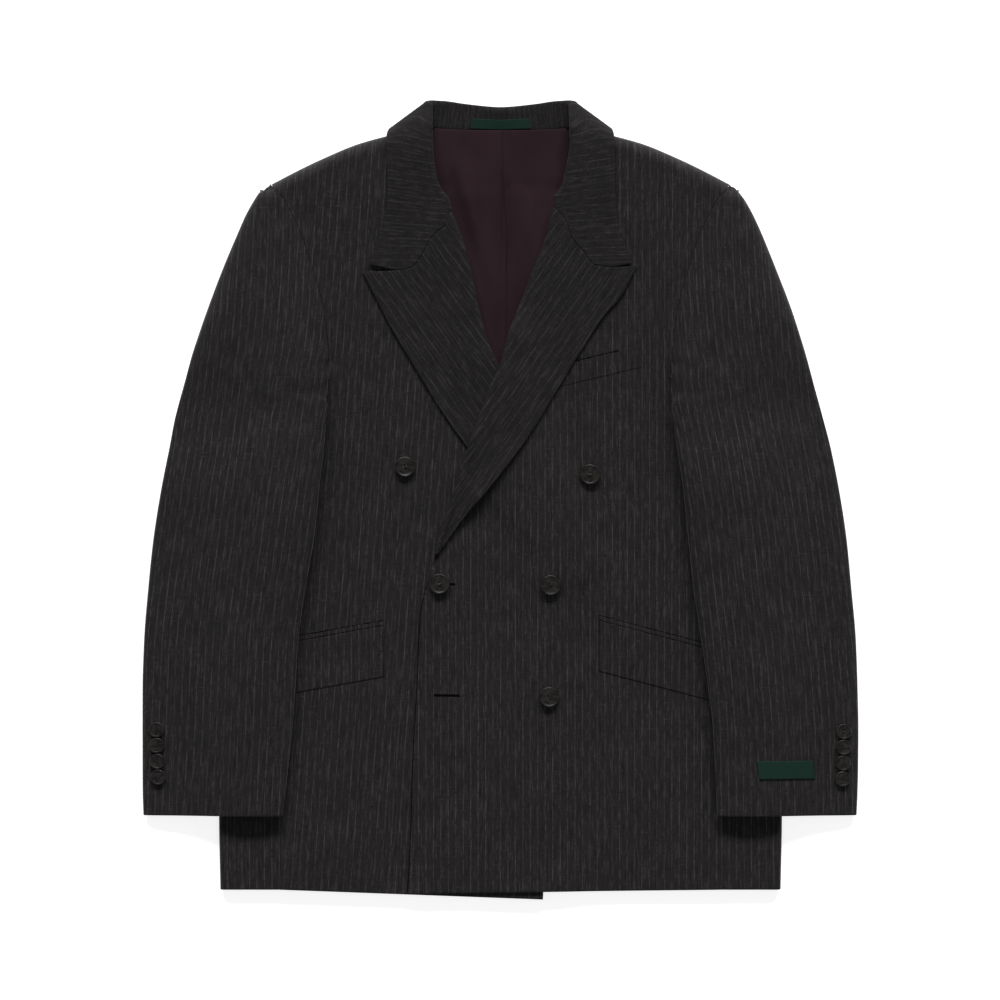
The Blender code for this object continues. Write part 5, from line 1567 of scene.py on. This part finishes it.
def node_stand(node):
    """Foot and axis of a packed button, from its own points."""
    packed = bpy.data.objects[node]
    points = np.array([packed.matrix_world @ vertex.co for vertex in packed.data.vertices])
    points = np.unique(np.round(points, 7), axis=0)
    middle = (points.max(axis=0) + points.min(axis=0)) / 2
    for _ in range(2):
        axis = np.linalg.svd(points - middle)[2][2]
        axis = axis * np.sign(axis[2])
        flat = points - middle - np.outer((points - middle) @ axis, axis)
        side_a = np.linalg.svd(flat)[2][0]
        for side in (side_a, np.cross(axis, side_a)):
            middle = middle + side * ((flat @ side).max() + (flat @ side).min()) / 2
    return middle + axis * ((points - middle) @ axis).min(), axis


def make_buttons():
    big = turned_button("turned_front", BUTTON_RADIUS)
    small = turned_button("turned_cuff", CUFF_BUTTON_RADIUS)
    names = ["button_front_%d" % k for k in range(1, 6)]
    names += ["button_cuff_%s_%d" % (word, k) for word in ("left", "right") for k in range(1, 5)]
    for number, node in enumerate(names):
        foot, axis = node_stand(node)
        front = node.startswith("button_front")
        if front:
            u, v = foot[0] / MM + CENTRE_U, CENTRE_V - foot[1] / MM
            on_over = u > OVER_EDGE[:, 0].min() + 7.0
            foot[2] += float(front_lift(u, v, on_over)) * MM
        piece = placed("horn_" + node, (big if front else small).copy())
        spin = Matrix.Rotation(0.35 + 1.7 * number, 4, "Z")
        leaning = Vector(axis).to_track_quat("Z", "Y").to_matrix().to_4x4()
        piece.matrix_world = Matrix.Translation(foot) @ leaning @ spin
        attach(piece, "root")
        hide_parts(node)


# ---------------------------------------------------------------- sewing, and the thread of the painted shade lines
def thread_run(name, rows, thick, fullness=None):
    """A closed run of near-black thread that follows points in metres: real stitching at the
    buttonholes, painted shade lines elsewhere.
    """
    curve = bpy.data.curves.new(name, "CURVE")
    curve.dimensions = "3D"
    curve.bevel_depth = thick / 2
    curve.bevel_resolution = 2
    curve.use_fill_caps = True
    for line in rows:
        spline = curve.splines.new("POLY")
        spline.points.add(len(line) - 1)
        for k, (point, spot) in enumerate(zip(spline.points, line)):
            point.co = (*spot, 1.0)
            point.radius = 1.0 if fullness is None else float(fullness[k])
    curve.materials.append(THREAD_AND_PAINTED_SHADE)
    piece = placed(name, curve)
    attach(piece, "root")


BAR_STEP = 0.62             # distance between a buttonhole's bars of thread
BAR_THICK = 0.55
BAR_PROFILE = ((0.05, 0.28), (0.6, 0.28), (1.1, 0.05))   # distance from the slit, height
BUTTONHOLES = table("from_u from_v to_u to_v", 434, 695, 460, 695.4, 433, 583.4, 455, 584.2)


def make_buttonholes():
    """Worked slits: close bars of thread along both sides of each cut."""
    for number, row in enumerate(BUTTONHOLES, start=1):
        start, end = row[:2], row[2:]
        long = math.hypot(*(end - start))
        along = (end - start) / long
        side = np.array([-along[1], along[0]])
        lines = []
        for hand in (-1.0, 1.0):
            for step in np.arange(0.0, long, BAR_STEP):
                line = []
                for off, lift in BAR_PROFILE:
                    u, v = start + along * step + side * hand * off + along * 0.12 * off
                    line.append(to_space((u, v, float(front_high(u, v, True)) + lift)))
                lines.append(line)
        thread_run("buttonhole_%d" % number, lines, BAR_THICK * MM)


# ---------------------------------------------------------------- assembly
for hand in (LEFT, RIGHT):
    make_back(hand)
for hand in (LEFT, RIGHT):
    make_side(hand)
make_lining()
for over in (False, True):
    make_front(over)
for hand in (LEFT, RIGHT):
    make_sleeve(hand)
for over in (False, True):
    make_lapel(over)
make_collar([make_neck_label()])
make_pockets()
make_welt()
make_sleeve_label()
make_buttons()
make_buttonholes()
make_edge_shadeline()


# ---------------------------------------------------------------- floor, light, camera
FLOOR_GLOW = 0.74           # leaves only a weak shadow on the table
LENS = 150.0
SENSOR = 36.0               # with this lens the camera is LENS / SENSOR metres up


def pale_floor():
    """Plain white table whose own glow leaves only a weak shadow on it."""
    bpy.ops.mesh.primitive_plane_add(size=8.0, location=(0.0, 0.0, -0.0004))
    floor = bpy.context.object
    floor.name = "floor"
    n = Nodes("floor_white")
    colour = n.mix(n.solid_noise((1.0, 1.0, 1.0), 2.0), (0.80, 0.80, 0.80), (0.83, 0.83, 0.83))
    floor.data.materials.append(n.surface(
        colour, 0.9, 0.0, None, emission_color=(1.0, 1.0, 1.0), emission_strength=FLOOR_GLOW))


def area_light(name, spot, size, watts):
    data = bpy.data.lights.new(name, "AREA")
    data.shape = "RECTANGLE"
    data.size, data.size_y = size
    data.energy = watts
    lamp = placed(name, data)
    lamp.location = spot
    lamp.rotation_euler = (-Vector(spot)).to_track_quat("-Z", "Y").to_euler()


def studio():
    area_light("key", (0.2, 13.2, 8.2), (12.8, 2.6), 2880.0)
    area_light("side_left", (-3.4, -1.0, 1.0), (3.0, 1.0), 5.0)
    area_light("side_right", (3.4, -1.0, 1.0), (3.0, 1.0), 7.0)
    area_light("fill", (0.3, -1.4, 3.2), (3.4, 3.0), 12.0)
    world = bpy.data.worlds.new("studio")
    bpy.context.scene.world = world
    world.use_nodes = True
    back = world.node_tree.nodes["Background"]
    back.inputs["Color"].default_value = (1.0, 1.0, 1.0, 1.0)
    back.inputs["Strength"].default_value = 0.15


def photo_camera():
    """Straight above the blazer, a thousand pixels to the metre of table."""
    data = bpy.data.cameras.new("photo_camera")
    data.lens = LENS
    data.sensor_width = SENSOR
    camera = placed("photo_camera", data)
    camera.location = (-0.0005, 0.0, LENS / SENSOR + 0.012)
    bpy.context.scene.camera = camera


pale_floor()
studio()
photo_camera()
bpy.context.scene.view_settings.view_transform = "Standard"
